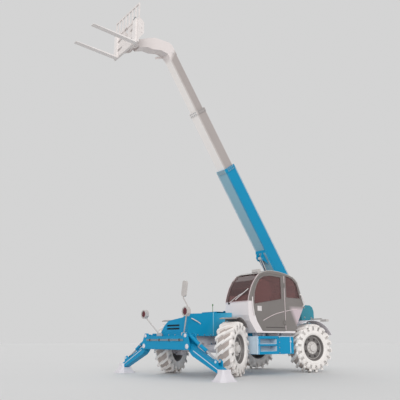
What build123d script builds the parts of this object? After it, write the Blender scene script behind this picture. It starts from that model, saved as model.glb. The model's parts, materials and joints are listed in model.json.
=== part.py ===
"""Telehandler with a raised three-section boom, a pallet-fork carriage and two front stabilisers.

Millimetres. +X is forward, +Y is left, +Z is up, and the ground is z = 0. The origin is on the
ground, midway between the fork tips and the rear of the counterweight. Heights are from the ground,
and lengths along the machine are from the front axle, which stands at FRONT_AXLE_X.
"""

from build123d import *
from math import atan2, cos, degrees, hypot, radians, sin, tan
import os

os.makedirs("parts", exist_ok=True)

# ---------------------------------------------------------------- driving sizes
PIN_GAP = 0.4          # running clearance of a pin in its bore, on the radius
SEAT = 0.3             # clearance between pieces that move on each other
GAP = 6.0              # clearance between pieces that move past each other

WHEELBASE = 2790.0
REAR_AXLE_X = -WHEELBASE
REAR_WHEEL_ROOM = 745.0    # ahead of the rear axle, where its wheels steer
TYRE_R = 585.0
TYRE_W = 390.0
RIM_R = 312.0          # the bead seat
RIM_W = 330.0
LUG_H = 45.0
LUGS = 18              # on each side of the tread
TYRE_SIDES = 24        # the tyre and its rim are drawn with this many flats
WHEEL_Y = 1020.0       # middle of a wheel that points straight ahead
KINGPIN_Y = 805.0
KINGPIN_R = 28.0
STEER_FRONT = 25.0     # degrees to the left, as parked
STEER_REAR = -12.0
FENDER_R = 675.0
FENDER_T = 12.0
FENDER_IN = -(TYRE_W / 2 + 27)    # its inner and outer edges, outboard of the wheel's middle
FENDER_OUT = TYRE_W / 2 - 5
STAY_AFT = 150.0       # the stay stands behind the kingpin
STAY_W = 50.0
STAY_T = 18.0

FRAME_Y = 260.0        # outer face of a frame plate
FRAME_T = 30.0
FRAME_TOP = 860.0
FRAME_LOW = 700.0
FRAME_REAR = -3480.0
BELLY_Z = 500.0

BEAM_X0, BEAM_X1 = 805.0, 1045.0
FRAME_FRONT = BEAM_X0
BEAM_Z0, BEAM_Z1 = 570.0, 860.0
BEAM_Y = 780.0
BEAM_WALL = 20.0

LEG_PIVOT_Y = 820.0
LEG_PIVOT_Z = 640.0
LEG_ANKLE_Y = 1845.0
LEG_ANKLE_Z = 170.0
LEG_W = 150.0
LEG_ROD_FROM = 420.0    # the rod's end inside its barrel, from the barrel's eye
LEG_X = (BEAM_X0 + BEAM_X1) / 2
PAD_R = 225.0

COVER_Y = 515.0
COVER_T = 18.0
COVER_REAR = -540.0

CAB_Y0, CAB_Y1 = 290.0, 1070.0
CAB_WALL = 45.0
CAB_FLOOR = 935.0

PIVOT_X = -3210.0      # the boom's pivot
PIVOT_Z = 1920.0
PIVOT_R = 45.0
BOOM_ANGLE = 54.5
BOOM_UP = 30.0         # the boxes' middle, above the line through the pivot

LIFT_FOOT = (-3300.0, 800.0)
LIFT_PIN = (1450.0, -290.0)   # along the boom, and across it
LIFT_PIN_R = 30.0
LIFT_EYE_HALF = 70.0
LIFT_BARREL_R = 75.0
LIFT_ROD_R = 45.0

CARRIAGE_PIN = (7880.0, -1020.0)   # along the boom, and across it
CARRIAGE_PIN_R = 35.0
TILT_FOOT = (7420.0, 60.0)
TILT_EYE = (50.0, 300.0)           # ahead of and above the carriage's pin
CARRIAGE_Y = 550.0
PLATE_AHEAD = 142.0                # the carriage plate's back face, ahead of its pin
PLATE_DROP = 185.0                 # its lower edge, below the pin
PLATE_H = 660.0
REST_H = 420.0                     # the backrest, above the plate
PLATE_T = 40.0
FORK_LENGTH = 1070.0
FORK_W = 120.0
FORK_T = 45.0
FORK_Y = 435.0

COUNTERWEIGHT_T = 110.0
REAR_END = FRAME_REAR - COUNTERWEIGHT_T

# ---------------------------------------------------------------- the boom's own axes
ALONG = Vector(cos(radians(BOOM_ANGLE)), 0, sin(radians(BOOM_ANGLE)))
ACROSS = Vector(-sin(radians(BOOM_ANGLE)), 0, cos(radians(BOOM_ANGLE)))

PIN_X = PIVOT_X + CARRIAGE_PIN[0] * ALONG.X + CARRIAGE_PIN[1] * ACROSS.X
PIN_Z = PIVOT_Z + CARRIAGE_PIN[0] * ALONG.Z + CARRIAGE_PIN[1] * ACROSS.Z
FORK_FACE = PIN_X + PLATE_AHEAD + PLATE_T + FORK_T
FORK_TIP = FORK_FACE + FORK_LENGTH
FRONT_AXLE_X = -(FORK_TIP + REAR_END) / 2

LEFT, RIGHT = 1, -1


# ---------------------------------------------------------------- planes to draw on
def side(y):
    """An upright plane along the machine: x is from the front axle, y is the height. Its normal is -Y."""
    return Plane(origin=(FRONT_AXLE_X, y, 0), x_dir=(1, 0, 0), z_dir=(0, -1, 0))


def front(x):
    """An upright plane across the machine: x is to the left, y is the height. Its normal is +X."""
    return Plane(origin=(FRONT_AXLE_X + x, 0, 0), x_dir=(0, 1, 0), z_dir=(1, 0, 0))


def level(z):
    """A level plane: x is from the front axle, y is to the left."""
    return Plane(origin=(FRONT_AXLE_X, 0, z), x_dir=(1, 0, 0), z_dir=(0, 0, 1))


def boom_side(y):
    """An upright plane along the boom: x is along it from the pivot, y is across it, upwards."""
    return Plane(origin=(FRONT_AXLE_X + PIVOT_X, y, PIVOT_Z), x_dir=ALONG, z_dir=(0, -1, 0))


def boom_section(s):
    """A plane square to the boom, s from the pivot: x is to the left, y is across the boom, upwards."""
    return Plane(boom_side(0).from_local_coords(Vector(s, 0, 0)), x_dir=(0, 1, 0), z_dir=ALONG)


def strut_side(foot, eye, y=0.0):
    """An upright plane along a cylinder whose foot and eye are points (x from the front axle, z)."""
    turn = Vector(eye[0] - foot[0], 0, eye[1] - foot[1]).normalized()
    return Plane(origin=(FRONT_AXLE_X + foot[0], y, foot[1]), x_dir=turn, z_dir=(0, -1, 0))


def boom_point(s, n):
    """Where a point of the boom's own axes stands: x from the front axle, and height."""
    return (PIVOT_X + s * ALONG.X + n * ACROSS.X, PIVOT_Z + s * ALONG.Z + n * ACROSS.Z)


def chamfered(width, height, corner):
    """The points of a rectangle about the origin with its corners cut off."""
    w, h = width / 2, height / 2
    return (
        (-w + corner, -h), (w - corner, -h), (w, -h + corner), (w, h - corner),
        (w - corner, h), (-w + corner, h), (-w, h - corner), (-w, -h + corner),
    )


def band(points, thickness):
    """A strip of plate whose one face follows the points; the other lies on their right."""
    inner = []
    for i, (x, y) in enumerate(points):
        ways = [(Vector(*points[j + 1]) - Vector(*points[j])).normalized() for j in (i - 1, i) if 0 <= j < len(points) - 1]
        mean = (ways[0] + ways[-1]).normalized()
        reach = thickness / max(mean.dot(ways[0]), 0.3)
        inner.append((x + mean.Y * reach, y - mean.X * reach))
    return (*points, *reversed(inner))


def slope(radius, end, length, sides):
    """The taper that takes a polygon from one radius to another over a length."""
    return degrees(atan2((radius - end) * cos(radians(180 / sides)), length))


def save(piece, label):
    piece.part.label = label
    export_step(piece.part, f"parts/{label}.step")


# ---------------------------------------------------------------- frame
BOSS_R = 110.0
BELLY_X0, BELLY_X1 = REAR_AXLE_X + REAR_WHEEL_ROOM - 5, -750.0
TOWER_TOP_X = -2890.0
OUTRIGGERS = (-1000.0, REAR_AXLE_X + REAR_WHEEL_ROOM + 145)
OUTRIGGER_W = 90.0
OUTRIGGER_H = 110.0
OUTRIGGER_END = 880.0
MOUNT_W = 70.0         # the cab's mounting blocks
CROSS_TUBES = ((-620, 780), (-2200, 780), (FRAME_FRONT - 400, 780))
CROSS_TUBE_W = 84.0
LASHING = (FRAME_REAR + 70, 800.0)
LASHING_R = 22.0

for hand, name in ((LEFT, "left"), (RIGHT, "right")):
    with BuildPart() as plate:
        with BuildSketch(side(hand * (FRAME_Y - FRAME_T / 2))):
            with BuildLine():
                Polyline(
                    (FRAME_REAR, 740), (FRAME_REAR, 1300), (PIVOT_X - 150, PIVOT_Z),
                    (PIVOT_X - 60, PIVOT_Z + 130), (PIVOT_X + 90, PIVOT_Z + 130),
                    (TOWER_TOP_X, PIVOT_Z - 80), (-2620, 1150), (-2380, FRAME_TOP),
                    (FRAME_FRONT, FRAME_TOP), (FRAME_FRONT, FRAME_LOW), (-560, FRAME_LOW),
                    (BELLY_X1, BELLY_Z), (BELLY_X0, BELLY_Z), (BELLY_X0 - 200, FRAME_LOW), (-3200, FRAME_LOW),
                    close=True,
                )
            make_face()
            with Locations(LASHING):
                Circle(LASHING_R, mode=Mode.SUBTRACT)
            with Locations((PIVOT_X, PIVOT_Z)):
                Circle(PIVOT_R, mode=Mode.SUBTRACT)
        extrude(amount=FRAME_T / 2, both=True)
        # a boss round the pivot pin, outside the plate
        with BuildSketch(side(hand * (FRAME_Y + 10))):
            with Locations((PIVOT_X, PIVOT_Z)):
                RegularPolygon(BOSS_R, 16)
                Circle(PIVOT_R, mode=Mode.SUBTRACT)
        extrude(amount=10, both=True)
    save(plate, f"frame_plate_{name}")

FRAME_IN = FRAME_Y - FRAME_T
with BuildPart() as frame:
    # front plate and rear box between the plates
    with BuildSketch(level(FRAME_LOW)):
        with Locations((FRAME_FRONT - 10, 0), (FRAME_REAR + 30, 0)):
            Rectangle(20, 2 * FRAME_IN)
    extrude(amount=FRAME_TOP - FRAME_LOW)
    with BuildSketch(level(BELLY_Z)):
        with Locations(((BELLY_X0 + BELLY_X1) / 2, 0)):
            Rectangle(BELLY_X1 - BELLY_X0, 2 * FRAME_IN)
    extrude(amount=14)
    with BuildSketch(side(0)):
        with Locations(*CROSS_TUBES):
            Rectangle(CROSS_TUBE_W, CROSS_TUBE_W)
    extrude(amount=FRAME_IN, both=True)
    # the boom's pivot pin, and the lift cylinder's foot pin
    with BuildSketch(side(0)):
        with Locations((PIVOT_X, PIVOT_Z)):
            Circle(PIVOT_R)
    extrude(amount=FRAME_Y + 24, both=True)
    with BuildSketch(side(0)):
        with Locations(LIFT_FOOT):
            Circle(LIFT_PIN_R)
    extrude(amount=FRAME_IN, both=True)
save(frame, "chassis_frame")

with BuildPart() as outriggers:
    # beams that carry the cab, the tank, the steps and the engine bay, with the cab's mounts on two of them
    for hand in (LEFT, RIGHT):
        with BuildSketch(side(hand * (FRAME_Y + OUTRIGGER_END) / 2)):
            for x in OUTRIGGERS:
                with Locations((x, FRAME_TOP - OUTRIGGER_H / 2)):
                    Rectangle(OUTRIGGER_W, OUTRIGGER_H)
        extrude(amount=(OUTRIGGER_END - FRAME_Y) / 2, both=True)
    with BuildSketch(level(FRAME_TOP)):
        for x in OUTRIGGERS:
            with Locations((x, CAB_Y0 + 80), (x, OUTRIGGER_END - MOUNT_W / 2 - 10)):
                Rectangle(MOUNT_W, MOUNT_W)
    extrude(amount=CAB_FLOOR - FRAME_TOP)
save(outriggers, "frame_outriggers")

# ---------------------------------------------------------------- stabiliser beam
EAR_T = 20.0
with BuildPart() as beam:
    with BuildSketch(front(BEAM_X0)):
        with BuildLine():
            Polyline(
                (-BEAM_Y - 110, BEAM_Z0), (BEAM_Y + 110, BEAM_Z0), (BEAM_Y + 110, BEAM_Z0 + 150),
                (BEAM_Y + 20, BEAM_Z1 + 60), (BEAM_Y - 110, BEAM_Z1 + 60), (BEAM_Y - 150, BEAM_Z1),
                (-BEAM_Y + 150, BEAM_Z1), (-BEAM_Y + 110, BEAM_Z1 + 60), (-BEAM_Y - 20, BEAM_Z1 + 60),
                (-BEAM_Y - 110, BEAM_Z0 + 150), close=True,
            )
        make_face()
    extrude(amount=BEAM_X1 - BEAM_X0)
    # hollow across the ends, where the legs and their cylinders swing
    with BuildSketch(front(BEAM_X0 + EAR_T)):
        for hand in (LEFT, RIGHT):
            with Locations((hand * (BEAM_Y + 60), BEAM_Z0 + 200)):
                Rectangle(420, 700)
    extrude(amount=BEAM_X1 - BEAM_X0 - 2 * EAR_T, mode=Mode.SUBTRACT)
    # pins of the legs and of the cylinders' feet
    with BuildSketch(front(BEAM_X0)):
        for hand in (LEFT, RIGHT):
            with Locations((hand * LEG_PIVOT_Y, LEG_PIVOT_Z)):
                Circle(25)
            with Locations((hand * (LEG_PIVOT_Y - 60), LEG_PIVOT_Z + 225)):
                Circle(18)
    extrude(amount=BEAM_X1 - BEAM_X0)
save(beam, "stabiliser_beam")

# ---------------------------------------------------------------- legs, pads and their cylinders
LEG_ANGLE = degrees(atan2(LEG_ANKLE_Z - LEG_PIVOT_Z, LEG_ANKLE_Y - LEG_PIVOT_Y))
LEG_LENGTH = hypot(LEG_ANKLE_Z - LEG_PIVOT_Z, LEG_ANKLE_Y - LEG_PIVOT_Y)
LEG_CYL_FOOT = (LEG_PIVOT_Y - 60, LEG_PIVOT_Z + 225)
LEG_CYL_AT = (900.0, 100.0)     # the rod's eye, along the leg and above it
LEG_BARREL_R = 38.0
PAD_RIM = 25.0
SKIRT_IN = 84.0         # the pad's skirt narrows by this on each side
LEG_ROD_R = 22.0


def leg_plane(hand, x=LEG_X):
    """A plane across the machine: x runs down the leg from its pivot, y is square to it, upwards."""
    turn = Vector(0, hand * cos(radians(LEG_ANGLE)), sin(radians(LEG_ANGLE)))
    normal = Vector(1, 0, 0) if hand == LEFT else Vector(-1, 0, 0)
    return Plane(origin=(FRONT_AXLE_X + x, hand * LEG_PIVOT_Y, LEG_PIVOT_Z), x_dir=turn, z_dir=normal)


def leg_cylinder_plane(hand):
    """The same across the machine, with x from the cylinder's foot to its rod's eye."""
    eye = leg_plane(LEFT).from_local_coords(Vector(*LEG_CYL_AT, 0))
    reach = Vector(0, hand * (eye.Y - LEG_CYL_FOOT[0]), eye.Z - LEG_CYL_FOOT[1]).normalized()
    normal = Vector(1, 0, 0) if hand == LEFT else Vector(-1, 0, 0)
    return Plane(origin=(FRONT_AXLE_X + LEG_X, hand * LEG_CYL_FOOT[0], LEG_CYL_FOOT[1]), x_dir=reach, z_dir=normal)


leg_eye = leg_plane(LEFT).from_local_coords(Vector(*LEG_CYL_AT, 0))
LEG_CYL_LENGTH = hypot(leg_eye.Y - LEG_CYL_FOOT[0], leg_eye.Z - LEG_CYL_FOOT[1])

for hand, name in ((LEFT, "left"), (RIGHT, "right")):
    with BuildPart() as leg:
        with BuildSketch(leg_plane(hand)):
            with BuildLine():
                Polyline(
                    (-45, -45), (-45, 45), (120, 42), (LEG_LENGTH - 60, 45), (LEG_LENGTH + 30, 20),
                    (LEG_LENGTH + 30, -30), (LEG_LENGTH - 60, -75), (200, -120), (90, -95), (0, -52), close=True,
                )
            make_face()
            Circle(25 + PIN_GAP, mode=Mode.SUBTRACT)
        extrude(amount=LEG_W / 2, both=True)
        # ears for the rod's eye
        with BuildSketch(leg_plane(hand)):
            with BuildLine():
                Polyline((LEG_CYL_AT[0] - 90, 30), (LEG_CYL_AT[0] - 40, 135), (LEG_CYL_AT[0] + 40, 135),
                         (LEG_CYL_AT[0] + 90, 30), close=True)
            make_face()
        extrude(amount=LEG_W / 2, both=True)
        with BuildSketch(leg_plane(hand)):
            with Locations((LEG_CYL_AT[0], 150)):
                Rectangle(400, 210)
        extrude(amount=LEG_BARREL_R + GAP, both=True, mode=Mode.SUBTRACT)
    save(leg, f"stabiliser_leg_{name}")

    ankle = Plane(origin=(FRONT_AXLE_X + LEG_X, hand * LEG_ANKLE_Y, 0), z_dir=(0, 0, 1))
    with BuildPart() as pad:
        # a flared foot: a rim, a skirt that narrows and a squared top with a slot for the leg
        with BuildSketch(ankle):
            Polygon(*chamfered(2 * PAD_R, 2 * PAD_R - 30, 90), align=None)
        extrude(amount=PAD_RIM)
        skirt = LEG_ANKLE_Z - 20 - PAD_RIM
        with BuildSketch(ankle.offset(PAD_RIM)):
            Polygon(*chamfered(LEG_W + 80 + 2 * SKIRT_IN, 200 + 2 * SKIRT_IN, 80), align=None)
        extrude(amount=skirt, taper=degrees(atan2(SKIRT_IN, skirt)))
        with BuildSketch(ankle.offset(LEG_ANKLE_Z - 20)):
            Polygon(*chamfered(LEG_W + 80, 200, 30), align=None)
        extrude(amount=70)
        with BuildSketch(leg_plane(hand)):
            with Locations((LEG_LENGTH - 100, 10)):
                Rectangle(300, 190)
        extrude(amount=LEG_W / 2 + SEAT, both=True, mode=Mode.SUBTRACT)
    save(pad, f"stabiliser_pad_{name}")

    with BuildPart() as barrel:
        with BuildSketch(leg_cylinder_plane(hand)):
            Circle(34)
            Circle(18 + PIN_GAP, mode=Mode.SUBTRACT)
        extrude(amount=30, both=True)
        start = Plane(leg_cylinder_plane(hand).from_local_coords(Vector(32, 0, 0)), z_dir=leg_cylinder_plane(hand).x_dir)
        with BuildSketch(start):
            Circle(LEG_BARREL_R)
        extrude(amount=LEG_CYL_LENGTH * 0.58)
        with BuildSketch(start.offset(10)):
            Circle(LEG_ROD_R + SEAT)
        extrude(amount=LEG_CYL_LENGTH, mode=Mode.SUBTRACT)
    save(barrel, f"leg_cylinder_{name}")

    with BuildPart() as rod:
        with BuildSketch(leg_cylinder_plane(hand)):
            with Locations((LEG_CYL_LENGTH, 0)):
                Circle(32)
        extrude(amount=LEG_BARREL_R + GAP - SEAT, both=True)
        back = Plane(leg_cylinder_plane(hand).from_local_coords(Vector(LEG_ROD_FROM, 0, 0)), z_dir=leg_cylinder_plane(hand).x_dir)
        with BuildSketch(back):
            Circle(LEG_ROD_R)
        extrude(amount=LEG_CYL_LENGTH - LEG_ROD_FROM - 20)
    save(rod, f"leg_rod_{name}")


# ---------------------------------------------------------------- axles
AXLE_R = 90.0
YOKE_H = 165.0
KNUCKLE_H = 120.0
DIFF_R = 175.0
DIFF_Y = 120.0

for x, name in ((0.0, "front"), (REAR_AXLE_X, "rear")):
    with BuildPart() as axle:
        with BuildSketch(side(0)):
            with Locations((x, TYRE_R)):
                RegularPolygon(AXLE_R, 16)
        extrude(amount=KINGPIN_Y - 115, both=True)
        # the differential's housing swells out of the tube
        with BuildSketch(side(0)):
            with Locations((x, TYRE_R)):
                RegularPolygon(DIFF_R, 16)
        extrude(amount=DIFF_Y, both=True)
        for hand in (LEFT, RIGHT):
            with BuildSketch(Plane(origin=(FRONT_AXLE_X + x, hand * DIFF_Y, TYRE_R), x_dir=(1, 0, 0), z_dir=(0, hand, 0))):
                RegularPolygon(DIFF_R, 16)
            extrude(amount=DIFF_Y, taper=slope(DIFF_R, AXLE_R, DIFF_Y, 16))
        # a pad up to each frame plate
        with BuildSketch(level(TYRE_R + AXLE_R - 25)):
            with Locations((x, FRAME_Y + 5 - FRAME_T), (x, -FRAME_Y - 5 + FRAME_T)):
                Rectangle(180, FRAME_T + 40)
        extrude(amount=FRAME_LOW - TYRE_R - AXLE_R + 25)
        for hand in (LEFT, RIGHT):
            # a yoke: its two ears hold the kingpin
            with BuildSketch(front(x)):
                with Locations((hand * (KINGPIN_Y - 35), TYRE_R)):
                    Rectangle(210, 2 * YOKE_H)
                with Locations((hand * (KINGPIN_Y + 20), TYRE_R)):
                    Rectangle(200, 2 * (KNUCKLE_H + SEAT), mode=Mode.SUBTRACT)
            extrude(amount=70, both=True)
            with BuildSketch(level(TYRE_R - YOKE_H)):
                with Locations((x, hand * KINGPIN_Y)):
                    Circle(KINGPIN_R)
            extrude(amount=2 * YOKE_H)
    save(axle, f"{name}_axle")

# ---------------------------------------------------------------- steered wheels
HUB_R = 135.0
DISC_AT = 70.0         # the disc's inner face, outboard of the wheel's middle
DISC_T = 16.0
HUB_AT = 18.0          # the hub's flange, proud of the disc
NUTS = 10
NUT_CIRCLE = 124.0
HAND_HOLES = 8
SHOULDER = 45.0        # the carcass slopes away this far in from each sidewall,
SHOULDER_DROP = 40.0   # and by this much
LUG_W = 62.0
LUG_SLANT = 38.0       # degrees off the wheel's axis
BEAD, BEAD_H = 30.0, 42.0   # depth and height of the slope beside the bead
LUG_INNER = -22.0      # where a lug ends past the tread's middle
FENDER_ARC = {"front": (18.0, 46.0), "rear": (30.0, 62.0)}   # degrees ahead of and behind the top

# name, axle, x from the front axle, hand, steering angle
WHEELS = (
    ("front_left", "front", 0.0, LEFT, STEER_FRONT),
    ("front_right", "front", 0.0, RIGHT, STEER_FRONT),
    ("rear_left", "rear", REAR_AXLE_X, LEFT, STEER_REAR),
    ("rear_right", "rear", REAR_AXLE_X, RIGHT, STEER_REAR),
)

for name, axle_name, x, hand, steer in WHEELS:
    turn = radians(steer)
    outward = Vector(-hand * sin(turn), hand * cos(turn), 0)
    ahead = Vector(cos(turn), sin(turn), 0)
    kingpin = Vector(FRONT_AXLE_X + x, hand * KINGPIN_Y, TYRE_R)
    middle = kingpin + outward * (WHEEL_Y - KINGPIN_Y)
    facing = Plane(origin=middle, x_dir=ahead * -hand, z_dir=outward)
    inward = Plane(origin=middle, x_dir=ahead * -hand, z_dir=-outward)

    with BuildPart() as tyre:
        # the carcass in flats, with a wide shoulder each side
        crown = TYRE_R - LUG_H
        w = TYRE_W / 2
        with BuildSketch(facing):
            RegularPolygon(crown, TYRE_SIDES)
        extrude(amount=w - SHOULDER, both=True)
        for half in (facing, inward):
            with BuildSketch(half.offset(w - SHOULDER)):
                RegularPolygon(crown, TYRE_SIDES)
            extrude(amount=SHOULDER, taper=slope(crown, crown - SHOULDER_DROP, SHOULDER, TYRE_SIDES))
        # slanting lugs, those of the two sides half a step apart; their corners reach TYRE_R
        half_lug = (w - 4 - LUG_INNER) / 2
        lug_top = (TYRE_R**2 - (half_lug * tan(radians(LUG_SLANT)) + LUG_W / 2 + 6) ** 2) ** 0.5
        for side_of in (LEFT, RIGHT):
            for i in range(LUGS):
                about = 360 / LUGS * (i + (0 if side_of == LEFT else 0.5))
                up = (facing.x_dir * cos(radians(about)) + facing.y_dir * sin(radians(about))).normalized()
                foot = Plane(origin=middle + up * (crown - 50), x_dir=outward * side_of, z_dir=up)
                lean = hand * half_lug * tan(radians(LUG_SLANT))
                with BuildSketch(foot):
                    with Locations((LUG_INNER + half_lug, 0)):
                        Polygon(
                            (-half_lug, -lean - LUG_W / 2), (half_lug, lean - LUG_W / 2 - 6),
                            (half_lug, lean + LUG_W / 2 + 6), (-half_lug, -lean + LUG_W / 2), align=None,
                        )
                extrude(amount=lug_top - crown + 50)
        # the bore, and the slope of the bead towards each side
        with BuildSketch(facing.offset(-w)):
            RegularPolygon(RIM_R, TYRE_SIDES)
        extrude(amount=2 * w, mode=Mode.SUBTRACT)
        for half in (facing, inward):
            with BuildSketch(half.offset(w)):
                RegularPolygon(RIM_R + BEAD_H, TYRE_SIDES)
            extrude(amount=-BEAD, taper=slope(RIM_R + BEAD_H, RIM_R, BEAD, TYRE_SIDES), mode=Mode.SUBTRACT)
    save(tyre, f"tyre_{name}")

    with BuildPart() as rim:
        w = RIM_W / 2
        with BuildSketch(facing.offset(-w)):
            RegularPolygon(RIM_R, TYRE_SIDES)
        extrude(amount=RIM_W)
        # the deep dish outside the disc, and the drum's room inside it
        for half, lip, depth in ((facing, RIM_R - 22, w - DISC_AT - DISC_T), (inward, RIM_R - 20, w + DISC_AT)):
            with BuildSketch(half.offset(w)):
                RegularPolygon(lip, TYRE_SIDES)
            extrude(amount=-depth, taper=slope(lip, RIM_R - 44, depth, TYRE_SIDES), mode=Mode.SUBTRACT)
        # hub flange with its nuts, and the hub reduction's cover
        with BuildSketch(facing.offset(DISC_AT + DISC_T)):
            RegularPolygon(152, 24)
        extrude(amount=HUB_AT)
        for at, radius, end, length in ((0, 96, 90, 52), (52, 90, 64, 12)):
            with BuildSketch(facing.offset(DISC_AT + DISC_T + HUB_AT + at)):
                RegularPolygon(radius, 16)
            extrude(amount=length, taper=slope(radius, end, length, 16))
        with BuildSketch(facing.offset(DISC_AT + DISC_T + HUB_AT)):
            with PolarLocations(NUT_CIRCLE, NUTS):
                RegularPolygon(14, 6)
        extrude(amount=20)
        with BuildSketch(facing.offset(DISC_AT - 5)):
            with PolarLocations(212, HAND_HOLES):
                RegularPolygon(26, 8)
        extrude(amount=DISC_T + 10, mode=Mode.SUBTRACT)
    save(rim, f"rim_{name}")

    with BuildPart() as knuckle:
        # the swivel between the yoke's ears, the hub and the fender's arm
        with BuildSketch(Plane(origin=(kingpin.X, kingpin.Y, TYRE_R - KNUCKLE_H), z_dir=(0, 0, 1))):
            RegularPolygon(68, 16)
            Circle(KINGPIN_R + PIN_GAP, mode=Mode.SUBTRACT)
        extrude(amount=2 * KNUCKLE_H)
        hub_start = facing.offset(-(WHEEL_Y - KINGPIN_Y) + 50)
        with BuildSketch(hub_start):
            RegularPolygon(80, 16)
        extrude(amount=WHEEL_Y - KINGPIN_Y - 50 - 20)
        with BuildSketch(facing.offset(-90)):
            RegularPolygon(HUB_R, 20)
        extrude(amount=90 + DISC_AT - SEAT)
        with BuildSketch(Plane(origin=kingpin, x_dir=-ahead, z_dir=(0, 0, 1))):
            with Locations(((STAY_AFT - STAY_W / 2 + 40) / 2, 0)):
                Rectangle(STAY_AFT - STAY_W / 2 - 40, 24)
        extrude(amount=50, both=True)
    save(knuckle, f"knuckle_{name}")

    with BuildPart() as fender:
        fore, aft = FENDER_ARC[axle_name]
        first = 90 - (aft if hand == LEFT else fore)
        with BuildSketch(facing.offset(FENDER_IN)):
            with BuildLine():
                crown = CenterArc((0, 0), FENDER_R, first, fore + aft)
                under = CenterArc((0, 0), FENDER_R - FENDER_T, first, fore + aft)
                Line(crown @ 0, under @ 0)
                Line(crown @ 1, under @ 1)
            make_face()
        extrude(amount=FENDER_OUT - FENDER_IN)
        # the stay that holds it, up the tyre's inner side
        with BuildSketch(facing.offset(FENDER_IN)):
            with Locations((hand * STAY_AFT, (FENDER_R - FENDER_T / 2) / 2)):
                Rectangle(STAY_W, FENDER_R - FENDER_T / 2 - 14)
        extrude(amount=STAY_T)
    save(fender, f"fender_{name}")

# ---------------------------------------------------------------- front cover
COVER_LOW = FRAME_TOP
COVER_FRONT = BEAM_X0 - 25
COVER_FLARE = 60.0     # the nose is wider by this on the right, ahead of the wheels
FLARE_X = 480.0
# across the nose, from the left: y and height; the right side falls away
NOSE = ((COVER_Y, COVER_LOW), (COVER_Y, 1400), (330, 1262), (-220, 1200), (-400, 1075), (-COVER_Y - COVER_FLARE, COVER_LOW))
NOSE_TOP, COVER_TOP = 1335.0, 1398.0    # heights of the left edge at the front and at the back

forms = []
for wall in (0.0, COVER_T):
    with BuildPart() as form:
        with BuildSketch(front(COVER_REAR)):
            Polygon(
                (NOSE[0][0] - wall, NOSE[0][1]), (NOSE[1][0] - wall, NOSE[1][1] - wall), (NOSE[2][0], NOSE[2][1] - wall),
                (NOSE[3][0] + wall / 2, NOSE[3][1] - wall), (NOSE[4][0] + wall, NOSE[4][1] - wall / 2),
                (NOSE[5][0] + wall * 1.3, NOSE[5][1]), align=None,
            )
        extrude(amount=COVER_FRONT - COVER_REAR)
        with BuildSketch(side(COVER_Y + COVER_FLARE)):
            Polygon(
                (COVER_FRONT - wall, COVER_LOW), (COVER_FRONT - wall, NOSE_TOP - 60), (COVER_FRONT - 25 - wall, NOSE_TOP - wall),
                (COVER_REAR, COVER_TOP - wall), (COVER_REAR, COVER_LOW), align=None,
            )
        extrude(amount=2 * (COVER_Y + COVER_FLARE), mode=Mode.INTERSECT)
        reach = COVER_Y - wall
        with BuildSketch(level(COVER_LOW)):
            Polygon(
                (COVER_REAR, -reach), (COVER_REAR, reach), (COVER_FRONT, reach), (COVER_FRONT, -reach - COVER_FLARE),
                (FLARE_X + COVER_FLARE, -reach - COVER_FLARE), (FLARE_X, -reach), align=None,
            )
        extrude(amount=COVER_TOP, mode=Mode.INTERSECT)
    forms.append(form.part)

with BuildPart() as cover:
    add(forms[0])
    add(forms[1], mode=Mode.SUBTRACT)
    # two vents low on the nose
    with BuildSketch(front(COVER_FRONT - 2 * COVER_T)):
        with Locations((-40, 1020), (-40, 1090)):
            Rectangle(480, 26)
    extrude(amount=4 * COVER_T, mode=Mode.SUBTRACT)
save(cover, "front_cover")

# ---------------------------------------------------------------- engine bay, hood and engine
BAY_X0, BAY_X1 = REAR_AXLE_X + REAR_WHEEL_ROOM + 5, -775.0
BAY_Y0, BAY_Y1 = -1090.0, -300.0
BAY_Z0, BAY_Z1 = 640.0, 1080.0
BAY_T = 14.0
LOUVRE_L = 620.0
LOUVRE_H = 22.0
LOUVRE_X = (BAY_X0 + BAY_X1) / 2
HOOD_TOP = 1470.0
HOOD_Y = BAY_Y1 - BAY_T - GAP          # the hood's inner edge
HOOD_AXIS = (BAY_Y1 - BAY_T / 2, HOOD_TOP + 8)
HOOD_HINGES = (LOUVRE_X - 300, LOUVRE_X + 300)

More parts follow.
